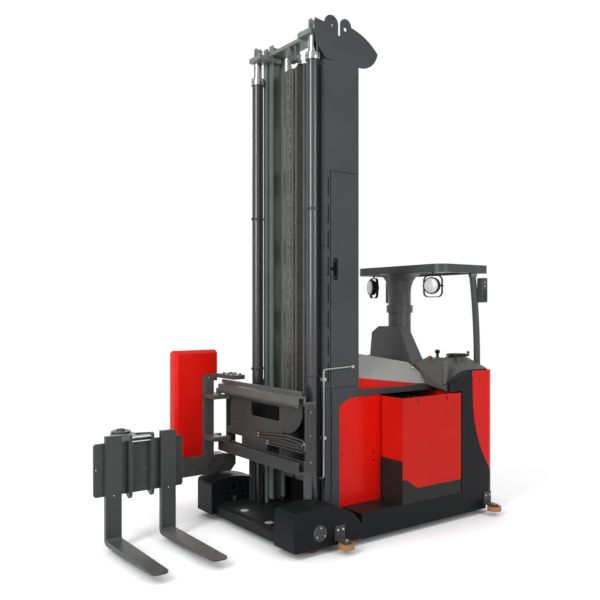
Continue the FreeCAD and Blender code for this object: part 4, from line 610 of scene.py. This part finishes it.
def panel_screws():
    """Screws of the side panels, the mast cover, the rear corner and the right cover."""
    places = []
    panel = span("front_side_panels")[1]
    for back, z in PANEL_SCREWS:
        places += [((panel.x - back, side * panel.y, z), LEFT * side, 0.007) for side in SIDES]
    low, high = span("mast_cover")
    step = (high.z - low.z - 0.2) / (COVER_SCREW_ROWS - 1)
    heights = [low.z + 0.1 + i * step for i in range(COVER_SCREW_ROWS)]
    places += rows((high.x - COVER_SCREW_IN, low.x + COVER_SCREW_IN), (high.y,), heights, LEFT, 0.006)
    low, high = span("rear_corner_panels")
    places += rows((low.x + 0.25,), (high.y,), CORNER_SCREW_Z, LEFT, 0.007)
    low, high = span("right_side_cover")
    places += rows((low.x + 0.05, high.x - 0.06), (low.y,), (low.z + 0.06, high.z - 0.06), -LEFT, 0.008)
    fasteners("panel_screws", places, finish=FINISH["black_plastic"], kind=screw, slot="black_plastic")


def axle_cap_bolts():
    hub = middle_of("load_axles").z
    face = span("load_axles")[1].y
    places = []
    for side in SIDES:
        centre = Vector((AXLE_X, side * face, hub))
        spots = circle(centre, FORE, UP, 3, HUB_CIRCLE, turn=math.pi / 2)
        places += [(spot, LEFT * side, 0.006) for spot in spots]
    return places


def bracket_bolts():
    """One bolt over each guide roller and two through its bracket into the body."""
    low, high = span("guide_roller_brackets")
    wall = span("rear_body")[1].y + 0.012
    places = []
    for corner in CORNERS:
        middle = middle_of("guide_roller_" + corner)
        side = math.copysign(1, middle.y)
        places.append(((middle.x, middle.y, low.z + 0.06), UP, 0.014))
        xs = (middle.x - 0.025, middle.x + 0.025)
        places += rows(xs, (side * wall,), (high.z - 0.03,), LEFT * side, 0.009)
    return places


def guard_bolts():
    """Bolts at the cylinders' feet, through the guard into its column, and in the column's collar."""
    front = span("lift_cylinders")[1].x - 0.002
    places = rows((front,), (0.43, -0.43), CYLINDER_FOOT_Z, FORE, 0.007)
    guard = span("overhead_guard")[1]
    places += rows((guard.x - 0.16, guard.x - 0.05), (-0.11, 0.05), (guard.z,), UP, 0.01)
    return places + rows((AXLE_X - 1.53,), (-0.16,), (1.808, 1.844), FORE, 0.007)


def mast_bolts():
    """Bright bolts on the mast's crosshead and the rod heads."""
    rod_x = middle_of("lift_rods").x
    shelf = span("lift_rods")[1].z + CROSSHEAD_RISE
    xs = (rod_x - 0.1, rod_x + 0.045)
    places = rows(xs, (CROSSHEAD_BOLT_Y, -CROSSHEAD_BOLT_Y), (shelf,), UP, 0.012)
    places += rows((rod_x,), (ROD_HEAD_Y, -ROD_HEAD_Y), (shelf + 0.026,), UP, 0.012)
    fasteners("mast_bolts", places, "inner_mast")


def carriage_bolts():
    """Bolts of the carriage's front plate and end plates, and the chain's anchor bolts."""
    low, high = span("carriage_plate")
    upper = (low.y + 0.04, *PLATE_BOLTS_HIGH, high.y - 0.05)
    places = rows((high.x,), upper, (high.z - 0.095,), FORE, 0.009)
    lower = (low.y + 0.04, low.y + 0.14, *PLATE_BOLTS_LOW)
    places += rows((high.x,), lower, (low.z + 0.06,), FORE, 0.009)
    end = span("traverse_frame")[1].y
    for side in SIDES:
        places += rows((AXLE_X - 0.025,), (side * end,), END_PLATE_Z, LEFT * side, 0.01)
    chain, foot = middle_of("front_chain"), span("front_chain")[0].z - 0.061
    places += rows((chain.x,), (chain.y - 0.018, chain.y + 0.018), (foot,), -UP, 0.012)
    fasteners("carriage_bolts", places, "lift_carriage", DARK_BOLT)


def head_bolts(plate):
    """Bolts of the head block, plate and swing bearing; plate is the plate's outer face."""
    top = span("head_frame")[1].z
    block = (plate + 0.04, plate + 0.12, plate + 0.2)
    places = rows((AXLE_X - 0.035, AXLE_X + 0.035), block, (top,), UP, 0.014)
    places += rows((AXLE_X + 0.212,), (plate - 0.01, plate + 0.15), (1.061, 0.696), FORE, 0.011)
    places += [(at(x, plate, z), LEFT, 0.012) for x, z in HEAD_BOLTS]
    fasteners("head_bolts", places, "traverse_head", DARK_BOLT)


def fork_carriage_trim(plate):
    """Bolts and cap of the swing bearing, the forks' bolts, and two lock shafts between the ribs."""
    body = "swinging_fork_carriage"
    king, high = middle_of("fork_carriage").x, span("fork_carriage")[1]
    hub = Vector((king, plate - 0.05, HUB_TOP))
    places = [(spot, UP, 0.009) for spot in circle(hub, FORE, LEFT, 6, BEARING_CIRCLE)]
    shank = span("forks")[0].y
    for x in (king - FORK_HALF, king + FORK_HALF):
        places.append(((x, shank - 0.0205, 0.76), -LEFT, 0.012))
        places.append(((x, shank + 0.04, 0.41), LEFT, 0.005))
    fasteners("fork_carriage_bolts", places, body)
    cap = Piece()
    cap.lathe(hub, UP, [(0.034, 0), (0.034, 0.01), (0.03, 0.016), (0.012, 0.019), (0, 0.019)], 32)
    cap.show("swing_bearing_cap", "fork_steel", FINISH["cast_hub"], body)
    shaft = Piece()
    for rise, radius in ((0.028, 0.011), (0.06, 0.007)):
        foot = Vector((king - RIB_GAP / 2, high.y - 0.02, high.z - rise))
        collar = radius * 1.5
        profile = [(collar, 0), (collar, 0.01), (radius, 0.012), (radius, RIB_GAP - 0.012),
                   (collar, RIB_GAP - 0.01), (collar, RIB_GAP)]
        shaft.lathe(foot, FORE, profile, 24)
    shaft.show("fork_lock_shaft", "fork_steel", FINISH["polished_rod"], body)


def all_fasteners():
    panel_screws()
    fasteners("chassis_bolts", axle_cap_bolts() + bracket_bolts() + guard_bolts())
    mast_bolts()
    carriage_bolts()
    plate = span("head_cover")[1].y + HEAD_PLATE_OUT
    head_bolts(plate)
    fork_carriage_trim(plate)


# ---------------- leaf chain
PITCH = 0.0222
LEAVES = 6
LEAF_ROOM = 0.0044  # across the chain
LEAF_THICK = LEAF_ROOM * 0.92
CHAIN_DEPTH = 0.0135
CHAIN_FILL = 0.96  # share of the fall's width that its leaves take
PIN_R = 0.0042


def leaf(piece, middle, run, out, offset, length):
    """One chain leaf: a plate with round ends and a waist, between two pins."""
    run, out = Vector(run).normalized(), Vector(out).normalized()
    side = run.cross(out)
    r = CHAIN_DEPTH / 2
    shape = []
    for end, start in ((1, -60), (-1, 120)):
        for k in range(4):
            a = math.radians(start + 40 * k)
            shape.append((length / 2 * end + r * math.cos(a), r * math.sin(a)))
        shape.append((0, end * r * 0.45))
    foot = Vector(middle) + side * (offset - LEAF_THICK / 2)
    piece.prism([foot + run * s + out * t for s, t in shape], side * LEAF_THICK)


def chain_run(piece, pins, outs, width):
    """Leaves laced in turn between pins, with a pin through each joint."""
    for i, (a, b) in enumerate(zip(pins, pins[1:])):
        middle, run, out = (a + b) / 2, b - a, outs[i]
        for k in range(i % 2, LEAVES, 2):
            leaf(piece, middle, run, out, (k - (LEAVES - 1) / 2) * width / LEAVES, run.length)
        side = run.normalized().cross(out.normalized())
        piece.lathe(a - side * (width / 2 + 0.0005), side, [(PIN_R, 0), (PIN_R, width + 0.001)], 8)


def straight_chain(name, node, top, finish):
    """The links of one straight fall."""
    low, high = span(node)
    middle = middle_of(node)
    count = round((top - low.z) / PITCH)
    pitch = (top - low.z) / count
    pins = [Vector((middle.x, middle.y, low.z + pitch * i)) for i in range(count + 1)]
    piece = Piece()
    chain_run(piece, pins, [FORE] * count, (high.y - low.y) * CHAIN_FILL)
    shown = piece.show(name, "chain_steel", finish, "inner_mast")
    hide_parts(node)
    return shown


def chains():
    """Two falls of leaf chain and the stretch that lies over the sheave."""
    low, high = span("front_chain")
    middle = middle_of("front_chain")
    front = straight_chain("front_chain_links", "front_chain", high.z, FINISH["chain_steel"])
    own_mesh(front)
    # the rear fall is drawn darker: painted shade
    straight_chain("rear_chain_links", "rear_chain", high.z, SHADED_CHAIN)
    centre = Vector(((span("rear_chain")[0].x + high.x) / 2, middle.y, high.z))
    radius = middle.x - centre.x
    count = round(math.pi * radius / PITCH)
    spokes = circle(Vector(), FORE, UP, 2 * count, 1.0)[:count + 1]
    pins = [centre + spoke * radius for spoke in spokes]
    outs = [(a + b).normalized() for a, b in zip(spokes, spokes[1:])]
    arc = Piece()
    chain_run(arc, pins, outs, (high.y - low.y) * CHAIN_FILL)
    arc.show("sheave_chain_links", "chain_steel", body="inner_mast")


# ---------------- mast and panel details
DOOR_TOP = 2.92
DOOR_SKIN = 0.003
HANDLE_X, HANDLE_Z = -0.345, 2.145  # from the load axle, and up
SLOT_PITCH = 0.21
LATCH_X, LATCH_Z = -0.753, (0.574, 0.634)
KNOB_X, KNOB_Y, KNOB_Z = -1.3, 0.402, 1.302
CLAMP_Z = (1.3, 2.62)
SLEEVE_R = 0.0568
LADDER_FOOT = 0.35  # from the mast's foot to its first ladder plate
LADDER_PITCH = 0.62
LADDER_HIGH = 0.12
HOSE_ENDS = ((-0.062, 0.8), (-0.062, 0.777), (0.0763, 0.733), (0.0763, 0.755))  # y and z
STEP_DISCS = ((0.1, -0.17), (0.08, 0.235))  # back from the step's front, y


def slot_outline(middle, half, straight):
    """A slot with round ends, upright, in the plane of the truck's side."""
    points = []
    for centre, start in ((straight, 0), (-straight, 180)):
        for k in range(9):
            a = math.radians(start + 22.5 * k)
            points.append(middle + Vector((half * math.cos(a), 0, centre + half * math.sin(a))))
    return points


def upright_sheet(front, rear, face, foot, head):
    """Corners of a rectangle in the plane of the truck's side."""
    return [Vector((x, face, z)) for x, z in ((front, foot), (rear, foot), (rear, head), (front, head))]


def cover_door():
    """Thin door on the mast cover, its gasket, and a strip of black slot shapes in front of it, painted
    shade for the openings.
    """
    low, high = span("mast_cover")
    front, rear, foot = high.x - 0.062, low.x + 0.01, low.z + 0.012
    outline = upright_sheet(front, rear, high.y, foot, DOOR_TOP)
    door = Piece()
    handle = at(HANDLE_X, high.y, HANDLE_Z)
    door.holed(outline, slot_outline(handle, 0.016, 0.06), LEFT * DOOR_SKIN)
    door.show("cover_door", "mast_grey")
    gasket = Piece()
    wide = upright_sheet(front + 0.006, rear - 0.004, high.y, foot, DOOR_TOP + 0.006)
    gasket.holed(wide, [p + UP * 0.0005 for p in outline], LEFT * 0.0008)
    gasket.show("door_gasket", "black_plastic", DEEP_BLACK)
    # The slots are black sheets on the cover, standing for the shade inside their openings: painted shade.
    strip = Piece()
    z = foot + 0.11
    while z + 0.08 < DOOR_TOP:
        middle = Vector((high.x - 0.036, high.y - 0.0005, z))
        strip.prism(slot_outline(middle, 0.0055, 0.07), LEFT * 0.0012)
        z += SLOT_PITCH
    strip.show("cover_slots", "black_plastic", DEEP_BLACK)
    cover_handle(handle)


def cover_handle(handle):
    """Black plate sunk in the door, with a stub, a bent bar and a knob."""
    plate = Piece()
    lifted = handle + LEFT * DOOR_SKIN
    plate.holed(slot_outline(lifted, 0.021, 0.068), slot_outline(lifted, 0.0145, 0.058), LEFT * 0.003)
    plate.prism(slot_outline(handle - LEFT * 0.0075, 0.0148, 0.044), LEFT * 0.001)
    plate.block(handle - LEFT * 0.0072, (0.0148, 0.0005, 0.0595), 0.0004)
    plate.lathe(handle - LEFT * 0.007, LEFT, [(0.01, 0), (0.01, 0.01), (0.008, 0.013)], 20)
    bend = ((0.002, 0.006), (0.018, 0.008), (0.034, 0.011))
    plate.sweep([handle + Vector((x, y, 0)) for x, y in bend], 0.0075, 14)
    knob = [(0.007, 0), (0.012, 0.003), (0.013, 0.01), (0.01, 0.016), (0, 0.018)]
    plate.lathe(handle + Vector((0.028, 0.01, 0)), Vector((1, 0.2, 0)), knob, 20)
    plate.show("cover_handle", "black_plastic", DEEP_BLACK)


def panel_latches():
    """Press latches of the side panels."""
    latches = Piece()
    face = span("front_side_panels")[1].y
    for side in SIDES:
        for z in LATCH_Z:
            foot, top = at(LATCH_X, side * (face - 0.007), z), at(LATCH_X, side * face, z)
            latches.lathe(foot, LEFT * side, [(0.0105, 0), (0.0105, 0.006), (0.0095, 0.0075)], 24)
            latches.block(top, (0.004, 0.003, 0.009), 0.001)
    latches.show("panel_latches", "black_plastic")


def hood_knobs():
    knobs = Piece()
    profile = [(0.006, -0.004), (0.006, 0.003), (0.011, 0.005), (0.012, 0.01), (0.009, 0.014), (0, 0.015)]
    for side in SIDES:
        knobs.lathe(at(KNOB_X, side * KNOB_Y, KNOB_Z), (0, side * 0.82, 0.57), profile, 20)
    knobs.show("hood_knobs", "bare_steel", YELLOW_CHROMATE)


def cylinder_trim():
    """Wiper ring, sleeve and bleed screw on each gland, and clamp bands round each tube."""
    gland = span("lift_cylinders")[1].z
    low, high = span("lift_rods")
    rod_r = (high.x - low.x) / 2
    wipers, clamps, sleeves = Piece(), Piece(), Piece()
    for side in SIDES:
        def on_axis(x, z):
            return Vector(((low.x + high.x) / 2 + x, side * (high.y - rod_r), z))
        wipers.ring(on_axis(0, gland + 0.002), UP, rod_r + 0.004, 0.0032)
        sleeves.ring(on_axis(0, gland - 0.03), UP, SLEEVE_R, 0.002, 44, 10, 14.0)
        for z in CLAMP_Z:
            clamps.ring(on_axis(0, z), UP, 0.0495, 0.0035, 36, 8, 3.2)
            clamps.block(on_axis(0.0545, z), (0.0095, 0.007, 0.01), 0.002)
        clamps.lathe(on_axis(0.056, gland - 0.03), FORE, [(0.006, 0), (0.006, 0.006), (0.003, 0.008)], 6)
    wipers.show("rod_wipers", "hose_rubber")
    sleeves.show("gland_sleeves", "frame_grey", FINISH["polished_rod"])
    clamps.show("cylinder_clamps", "frame_grey")


def mast_welds():
    """Weld beads where the ladder plates meet the outer uprights."""
    low, high = span("outer_mast")
    beads = Piece()
    z = low.z + LADDER_FOOT
    while z + LADDER_HIGH < high.z:
        for side in SIDES:
            for edge in (z - 0.002, z + LADDER_HIGH + 0.002):
                points = [(low.x + 0.011, side * (high.y - 0.05 * i / 8), edge + 0.0006 * (-1) ** i)
                          for i in range(9)]
                beads.sweep(points, 0.0042, 8)
        z += LADDER_PITCH
    beads.show("mast_weld_beads", "mast_grey")


def hose_fittings():
    """Steel ferrules and hexagons at both ends of each carriage hose."""
    x = middle_of("traverse_hoses").x
    fittings = Piece()
    ferrule = [(0.0098, 0), (0.0104, 0.002), (0.0104, 0.022), (0.0097, 0.024)]
    for y, z in HOSE_ENDS:
        spot = Vector((x, y, z))
        fittings.lathe(spot, LEFT, [(0.0105, 0), (0.0105, 0.01)], 6)
        fittings.lathe(spot + LEFT * 0.009, LEFT, ferrule, 20)
    fittings.show("hose_fittings", "bare_steel", YELLOW_CHROMATE, "lift_carriage")


def axle_caps():
    z, face = middle_of("load_axles").z, span("load_axles")[1].y
    caps = Piece()
    profile = [(0.03, 0), (0.03, 0.0025), (0.027, 0.004), (0.012, 0.0045), (0.01, 0.002), (0, 0.002)]
    for side in SIDES:
        caps.lathe((AXLE_X, side * face, z), LEFT * side, profile, 32)
    caps.show("axle_caps", "cast_hub")


def drive_wheel_nuts():
    middle, face = middle_of("drive_wheel_hub"), span("drive_wheel_hub")[0].y
    spots = circle(Vector((middle.x, face, middle.z)), FORE, UP, 6, DRIVE_CIRCLE)
    fasteners("drive_wheel_nuts", [(spot, -LEFT, 0.012) for spot in spots], "drive_wheel")


def guide_roller_trim(name):
    """Seals on both faces of a guide roller, and the bearing under it."""
    low, high = span(name)
    middle = middle_of(name)
    seals, bearing = Piece(), Piece()
    for z in (low.z + 0.0015, high.z - 0.0015):
        seals.ring((middle.x, middle.y, z), UP, (high.x - low.x) / 2 - 0.022, 0.0028, 32, 8, 0.9)
    seals.show(name + "_seal", "roller_tan", FINISH["black_plastic"], name)
    face = [(0.026, 0), (0.026, 0.0015), (0.022, 0.003), (0.014, 0.003)]
    bearing.lathe((middle.x, middle.y, low.z), -UP, face, 28)
    bearing.show(name + "_bearing", "bare_steel", body=name)


def step_discs():
    """Two blank discs on the front step."""
    high = span("front_step")[1]
    discs = Piece()
    profile = [(0.036, 0), (0.036, 0.001), (0.034, 0.0016), (0, 0.0016)]
    for back, y in STEP_DISCS:
        discs.lathe((high.x - back, y, high.z), UP, profile, 36)
    discs.show("step_discs", "bare_steel", LABEL)


# ---------------- guard details
LAMP_R = 0.075
LAMP_HALF = 0.04  # from the middle of its body to its front
LAMP_DROP = 0.105  # from the stirrup's foot to the lamp's axis
LAMP_TURN = math.radians(20.0)
LAMP_Y = (-0.33, 0.46)
COOLING_FINS = 5
POST_RING_R = 0.0375
GRILLE_BARS = 9
GRILLE_FOOT = 1.905
BUTTON_Z = (2.035, 2.068)


def lamp_fronts():
    """Rim, pressed lens, cooling fins and two bolts on each work lamp."""
    x = span("overhead_guard")[1].x - 0.03
    z = span("work_lamps")[0].z + LAMP_DROP
    lens = [(LAMP_R - 0.009, 0), (LAMP_R - 0.009, 0.003), (0.058, 0.0075), (0.042, 0.0115), (0.022, 0.0135),
            (0, 0.014)]
    rims, lenses = Piece(), Piece()
    for y, turn in zip(LAMP_Y, (-LAMP_TURN, LAMP_TURN)):
        middle = Vector((x, y, z))
        ahead = Vector((math.cos(turn), math.sin(turn), 0))
        beside = Vector((-ahead.y, ahead.x, 0))
        rims.ring(middle + ahead * LAMP_HALF, ahead, LAMP_R - 0.005, 0.006, 40, 10, 0.9)
        lenses.lathe(middle + ahead * LAMP_HALF, ahead, lens, 40)
        for i in range(COOLING_FINS):
            fin = middle + ahead * (0.006 + 0.008 * i - LAMP_HALF)
            rims.ring(fin, ahead, 0.041 + 0.0065 * i, 0.0022, 32, 6)
        for out in (-beside, beside):
            bolt(rims, middle + out * (LAMP_R + 0.016), out, 0.008)
    rims.show("lamp_rims", "black_plastic")
    lenses.show("lamp_lenses", "black_plastic", LENS_GLASS)


def post_trim():
    """Two bright rings under the guard on each rear post, and the speaker's grille with two buttons."""
    low, high = span("guard_posts")
    rings, grille, buttons = Piece(), Piece(), Piece()
    button = [(0.007, 0), (0.007, 0.003), (0.005, 0.004)]
    for side in SIDES:
        for drop in (0.03, 0.012):
            spot = (high.x - 0.036, side * (high.y - 0.085), high.z - drop)
            rings.ring(spot, UP, POST_RING_R, 0.0042, 36, 8)
        for i in range(GRILLE_BARS):
            bar = Vector((low.x + 0.035, side * (high.y + 0.0015), GRILLE_FOOT + 0.0025 + 0.011 * i))
            grille.block(bar, (0.023, 0.0015, 0.0025), 0.001)
        for z in BUTTON_Z:
            buttons.lathe((low.x + 0.035, side * high.y, z), LEFT * side, button, 20)
    rings.show("post_rings", "bare_steel", FINISH["polished_rod"])
    grille.show("speaker_grilles", "black_plastic")
    buttons.show("speaker_buttons", "bare_steel", LABEL)


# ---------------- operator's place
DESK_TOP = 1.378
DESK_FRONT_Z = 1.181  # where the wall's swept top starts at the desk's front
SWEPT_RUN, LEVEL_RUN = 0.27, 0.22
SWEPT_STEPS, LEVEL_STEPS = 18, 4
STRIP_RISE = 0.006
WHEEL_RISE = 0.014
WHEEL_THICK = 0.011
MAT_LEFT, MAT_RIGHT = 0.035, 0.425
MAT_RIBS = 24
PEDAL_Y = 0.467
PEDAL_RIBS = 6
CELL_ROWS, CELL_COLUMNS = 4, 6


def console_edge():
    """Rubber strip where the desk meets the left wall, along the wall's swept top."""
    high = span("rear_body")[1]
    front = span("console")[1].x
    shares = [i / SWEPT_STEPS for i in range(SWEPT_STEPS + 1)]
    path = [(front - t * SWEPT_RUN, high.z - (high.z - DESK_FRONT_Z) * (1 - t) ** 2) for t in shares]
    path += [(front - SWEPT_RUN - LEVEL_RUN * i / LEVEL_STEPS, high.z) for i in range(1, LEVEL_STEPS + 1)]
    strip = Piece()
    strip.sweep([(x, high.y - 0.012, z + STRIP_RISE) for x, z in path], 0.013, 12, 0.7)
    strip.show("desk_edge_strip", "black_plastic")


def desk_controls():
    """Hand control, stop button, key and a blank display on the desk."""
    low, high = span("steering_wheel")
    dark, red, bright = Piece(), Piece(), Piece()
    grip = [(0.026, -0.004), (0.026, 0.004), (0.017, 0.012), (0.012, 0.016), (0.012, 0.04), (0.02, 0.048),
            (0.024, 0.058), (0.021, 0.072), (0.01, 0.079), (0, 0.08)]
    dark.lathe((high.x + 0.075, 0.42, DESK_TOP), UP, grip, 28)
    button = [(0.012, -0.002), (0.012, 0.008), (0.02, 0.01), (0.02, 0.018), (0.015, 0.023), (0, 0.024)]
    red.lathe((high.x + 0.15, 0.4, DESK_TOP), UP, button, 28)
    key = [(0.01, -0.002), (0.01, 0.004), (0.006, 0.005), (0, 0.005)]
    bright.lathe((high.x + 0.15, 0.45, DESK_TOP), UP, key, 24)
    dark.slab((low.x - 0.01, 0.345, DESK_TOP - 0.006), (low.x + 0.1, 0.388, DESK_TOP + 0.006), 0.003)
    dark.show("hand_control", "black_plastic")
    red.show("stop_button", "black_plastic", RED_PLASTIC)
    bright.show("key_switch", "bare_steel")


def steering():
    """Round-rimmed steering wheel with a domed hub, three spokes and a spinner knob."""
    low, high = span("steering_wheel")
    foot = Vector(((low.x + high.x) / 2, (low.y + high.y) / 2, low.z))
    middle = foot + UP * WHEEL_RISE
    radius = (high.x - low.x) / 2
    wheel, knob = Piece(), Piece()
    wheel.ring(middle, UP, radius - WHEEL_THICK, WHEEL_THICK, 56, 14, 0.9)
    hub = [(0.01, 0), (0.024, 0.001), (0.026, 0.01), (0.024, 0.02), (0.016, 0.024), (0, 0.025)]
    wheel.lathe(foot, UP, hub, 36)
    for out in circle(Vector(), FORE, LEFT, 3, 1.0, turn=math.pi / 2):
        spoke = [middle + out * d - UP * 0.003 * math.sin(math.pi * d / radius)
                 for d in (0.015, 0.035, 0.055, 0.075, radius - 0.016)]
        wheel.sweep(spoke, 0.0085, 12, 0.55)
    shown = wheel.show("steering_wheel_rim", "black_plastic", body="steering_wheel")
    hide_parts("steering_wheel")
    reach = (radius - 0.01) / math.sqrt(2)
    profile = [(0.007, 0), (0.007, 0.005), (0.011, 0.007), (0.0145, 0.014), (0.014, 0.022), (0.009, 0.0275),
               (0, 0.028)]
    knob.lathe(foot + Vector((-reach, reach, 0.022)), UP, profile, 28)
    knob.show("spinner_knob", "interior_grey", body="steering_wheel")


def floor_mat():
    """Ribbed rubber mat in the footwell."""
    low, high = span("operator_floor")
    rear, front, top = low.x + 0.07, high.x - 0.06, high.z
    mat = Piece()
    mat.slab((rear, MAT_LEFT, top), (front, MAT_RIGHT, top + 0.005), 0.0015)
    for i in range(MAT_RIBS):
        y = MAT_LEFT + 0.012 + (MAT_RIGHT - MAT_LEFT - 0.024) * i / (MAT_RIBS - 1)
        mat.slab((rear + 0.012, y - 0.003, top + 0.004), (front - 0.012, y + 0.003, top + 0.0085), 0.001)
    mat.show("floor_mat", "black_plastic", FINISH["hose_rubber"])


def pedal_pads():
    """Ribbed rubber on the two pedals."""
    low, high = span("pedals")
    pads = Piece()
    slope = Vector((0, 0.062, 0.074)).normalized()
    out = Vector((0, -slope.z, slope.y))
    for x in (low.x + 0.08, high.x - 0.07):
        middle = Vector((x, PEDAL_Y, high.z - 0.041))
        for i in range(PEDAL_RIBS):
            spot = middle + slope * (-0.038 + 0.0152 * i) + out * 0.004
            pads.prism([spot + FORE * s * 0.04 + slope * t * 0.0045 for s, t in SQUARE], out * 0.005)
    pads.show("pedal_pads", "black_plastic", FINISH["hose_rubber"])


def battery_tops():
    """Cell lids and caps, terminal posts and lead links on top of the cells."""
    low, high = span("battery_cells")
    caps, links = Piece(), Piece()
    lid = [(0.022, 0), (0.022, 0.01), (0.016, 0.014), (0, 0.014)]
    post = [(0.014, 0), (0.014, 0.012), (0.01, 0.014), (0, 0.014)]
    dx, dy = (high.x - low.x) / CELL_ROWS, (high.y - low.y) / CELL_COLUMNS
    for i in range(CELL_ROWS):
        for j in range(CELL_COLUMNS):
            x, y, z = low.x + dx * (i + 0.5), low.y + dy * (j + 0.5), high.z
            caps.block(Vector((x, y, z + 0.003)), (dx * 0.46, dy * 0.46, 0.003), 0.002)
            caps.lathe((x, y, z + 0.005), UP, lid, 16)
            for s in (-1, 1):
                links.lathe((x, y + s * dy * 0.32, z + 0.005), UP, post, 14)
            if j + 1 < CELL_COLUMNS:
                links.block(Vector((x, y + dy * 0.5, z + 0.016)), (0.012, dy * 0.18, 0.004), 0.002)
    caps.show("cell_tops", "battery_lead", body="battery")
    links.show("cell_links", "battery_lead", FINISH["cast_hub"], "battery")


# ---------------- seat
CUSHION_CROWN, BACK_CROWN = 0.012, 0.01  # how far the padding may swell
FINE_GRID, COARSE_GRID = 0.006, 0.012
CLOTH = {"quality": 6, "mass": 0.3, "use_pressure": True, "uniform_pressure_force": 4.0,
         "tension_stiffness": 18, "compression_stiffness": 18, "bending_stiffness": 1.0}
CLOTH_STEPS = 20
SEAM_DEPTH = 0.006
CUSHION_SEAMS = (0.3, 0.62)  # shares of the cushion's width
BACK_SEAMS = (0.35, 0.58, 0.8)  # shares of the back's height
PIPING_CORNER = 0.03


def cushion(name, node, crown, seams):
    """A padded seat part: its solid shrunk, swelled by cloth pressure, and sewn."""
    low, high = span(node)
    middle = (low + high) / 2
    pad = added(name, nodes[node].data.copy())
    inset = [(high[i] - low[i] - 2 * crown) / (high[i] - low[i]) for i in range(3)]
    for vert in pad.data.vertices:
        vert.co = Vector([middle[i] + (vert.co[i] - middle[i]) * inset[i] for i in range(3)])
    remesh = pad.modifiers.new("grid", "REMESH")
    remesh.mode = "VOXEL"
    remesh.voxel_size = FINE_GRID
    settle(pad)
    swell(pad, crown)
    for vert in pad.data.vertices:
        for i in range(3):
            vert.co[i] = min(max(vert.co[i], low[i]), high[i])
        vert.co += seams(vert.co, low, high)
    pad.modifiers.new("smooth", "SUBSURF").levels = 1
    settle(pad)
    pad.data.materials.clear()
    pad.data.materials.append(FINISH["seat_fabric"])
    pad.data.shade_smooth()
    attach(pad, "chassis")
    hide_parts(node)


def swell(pad, crown):
    """Blow the cover up as cloth under pressure, by no more than its crown."""
    rest = [v.co.copy() for v in pad.data.vertices]
    settings = pad.modifiers.new("cloth", "CLOTH").settings
    for name, value in CLOTH.items():
        setattr(settings, name, value)
    settings.effector_weights.gravity = 0.0
    for step in range(1, CLOTH_STEPS + 1):
        bpy.context.scene.frame_set(step)
    settle(pad)
    for vert, start in zip(pad.data.vertices, rest):
        move = vert.co - start
        if move.length > crown:
            vert.co = start + move.normalized() * crown


def settle(piece):
    """Bake a piece's modifiers into its mesh."""
    deps = bpy.context.evaluated_depsgraph_get()
    baked = bpy.data.meshes.new_from_object(piece.evaluated_get(deps))
    piece.modifiers.clear()
    piece.data = baked


def sewn(share, spots, length, width):
    """Depth of the sewn channels at a share of a length."""
    return sum(SEAM_DEPTH * math.exp(-(((share - spot) * length / width) ** 2)) for spot in spots)


def cushion_seams(co, low, high):
    """Two sewn channels across the cushion's top and a crown between its sides."""
    if co.z < (low.z + high.z) / 2:
        return Vector((0, 0, 0))
    u = (co.x - low.x) / (high.x - low.x)
    v = (co.y - low.y) / (high.y - low.y)
    sink = 0.01 * (abs(2 * u - 1) ** 3 + abs(2 * v - 1) ** 3) / 2
    return Vector((0, 0, -sink - sewn(v, CUSHION_SEAMS, high.y - low.y, 0.006)))


def back_seams(co, low, high):
    """Three sewn channels across the backrest's front."""
    if co.y <= (low.y + high.y) / 2:
        return Vector((0, 0, 0))
    v = (co.z - low.z) / (high.z - low.z)
    return Vector((0, -sewn(v, BACK_SEAMS, high.z - low.z, 0.007), 0))


def seat_piping():
    """Piping round the cushion's upper edge."""
    low, high = span("seat_cushion")
    inset, r = 0.004, PIPING_CORNER
    path = []
    for i, (sx, sy) in enumerate(((1, 1), (-1, 1), (-1, -1), (1, -1))):
        x = (high.x if sx > 0 else low.x) - sx * (r + inset)
        y = (high.y if sy > 0 else low.y) - sy * (r + inset)
        for k in range(5):
            a = math.radians(90 * i + 22.5 * k)
            path.append((x + r * math.cos(a), y + r * math.sin(a), high.z - 0.02))
    piping = Piece()
    piping.sweep(path + path[:1], 0.0032, 8)
    piping.show("seat_piping", "seat_fabric", FINISH["black_plastic"])


# ---------------- everything
camera()
stage()
dress_nodes()
all_fasteners()
chains()
cover_door()
panel_latches()
hood_knobs()
cylinder_trim()
mast_welds()
hose_fittings()
axle_caps()
drive_wheel_nuts()
for corner in CORNERS:
    guide_roller_trim("guide_roller_" + corner)
step_discs()
lamp_fronts()
post_trim()
console_edge()
desk_controls()
steering()
floor_mat()
pedal_pads()
battery_tops()
cushion("seat_cushion_pad", "seat_cushion", CUSHION_CROWN, cushion_seams)
cushion("seat_back_pad", "seat_back", BACK_CROWN, back_seams)
seat_piping()
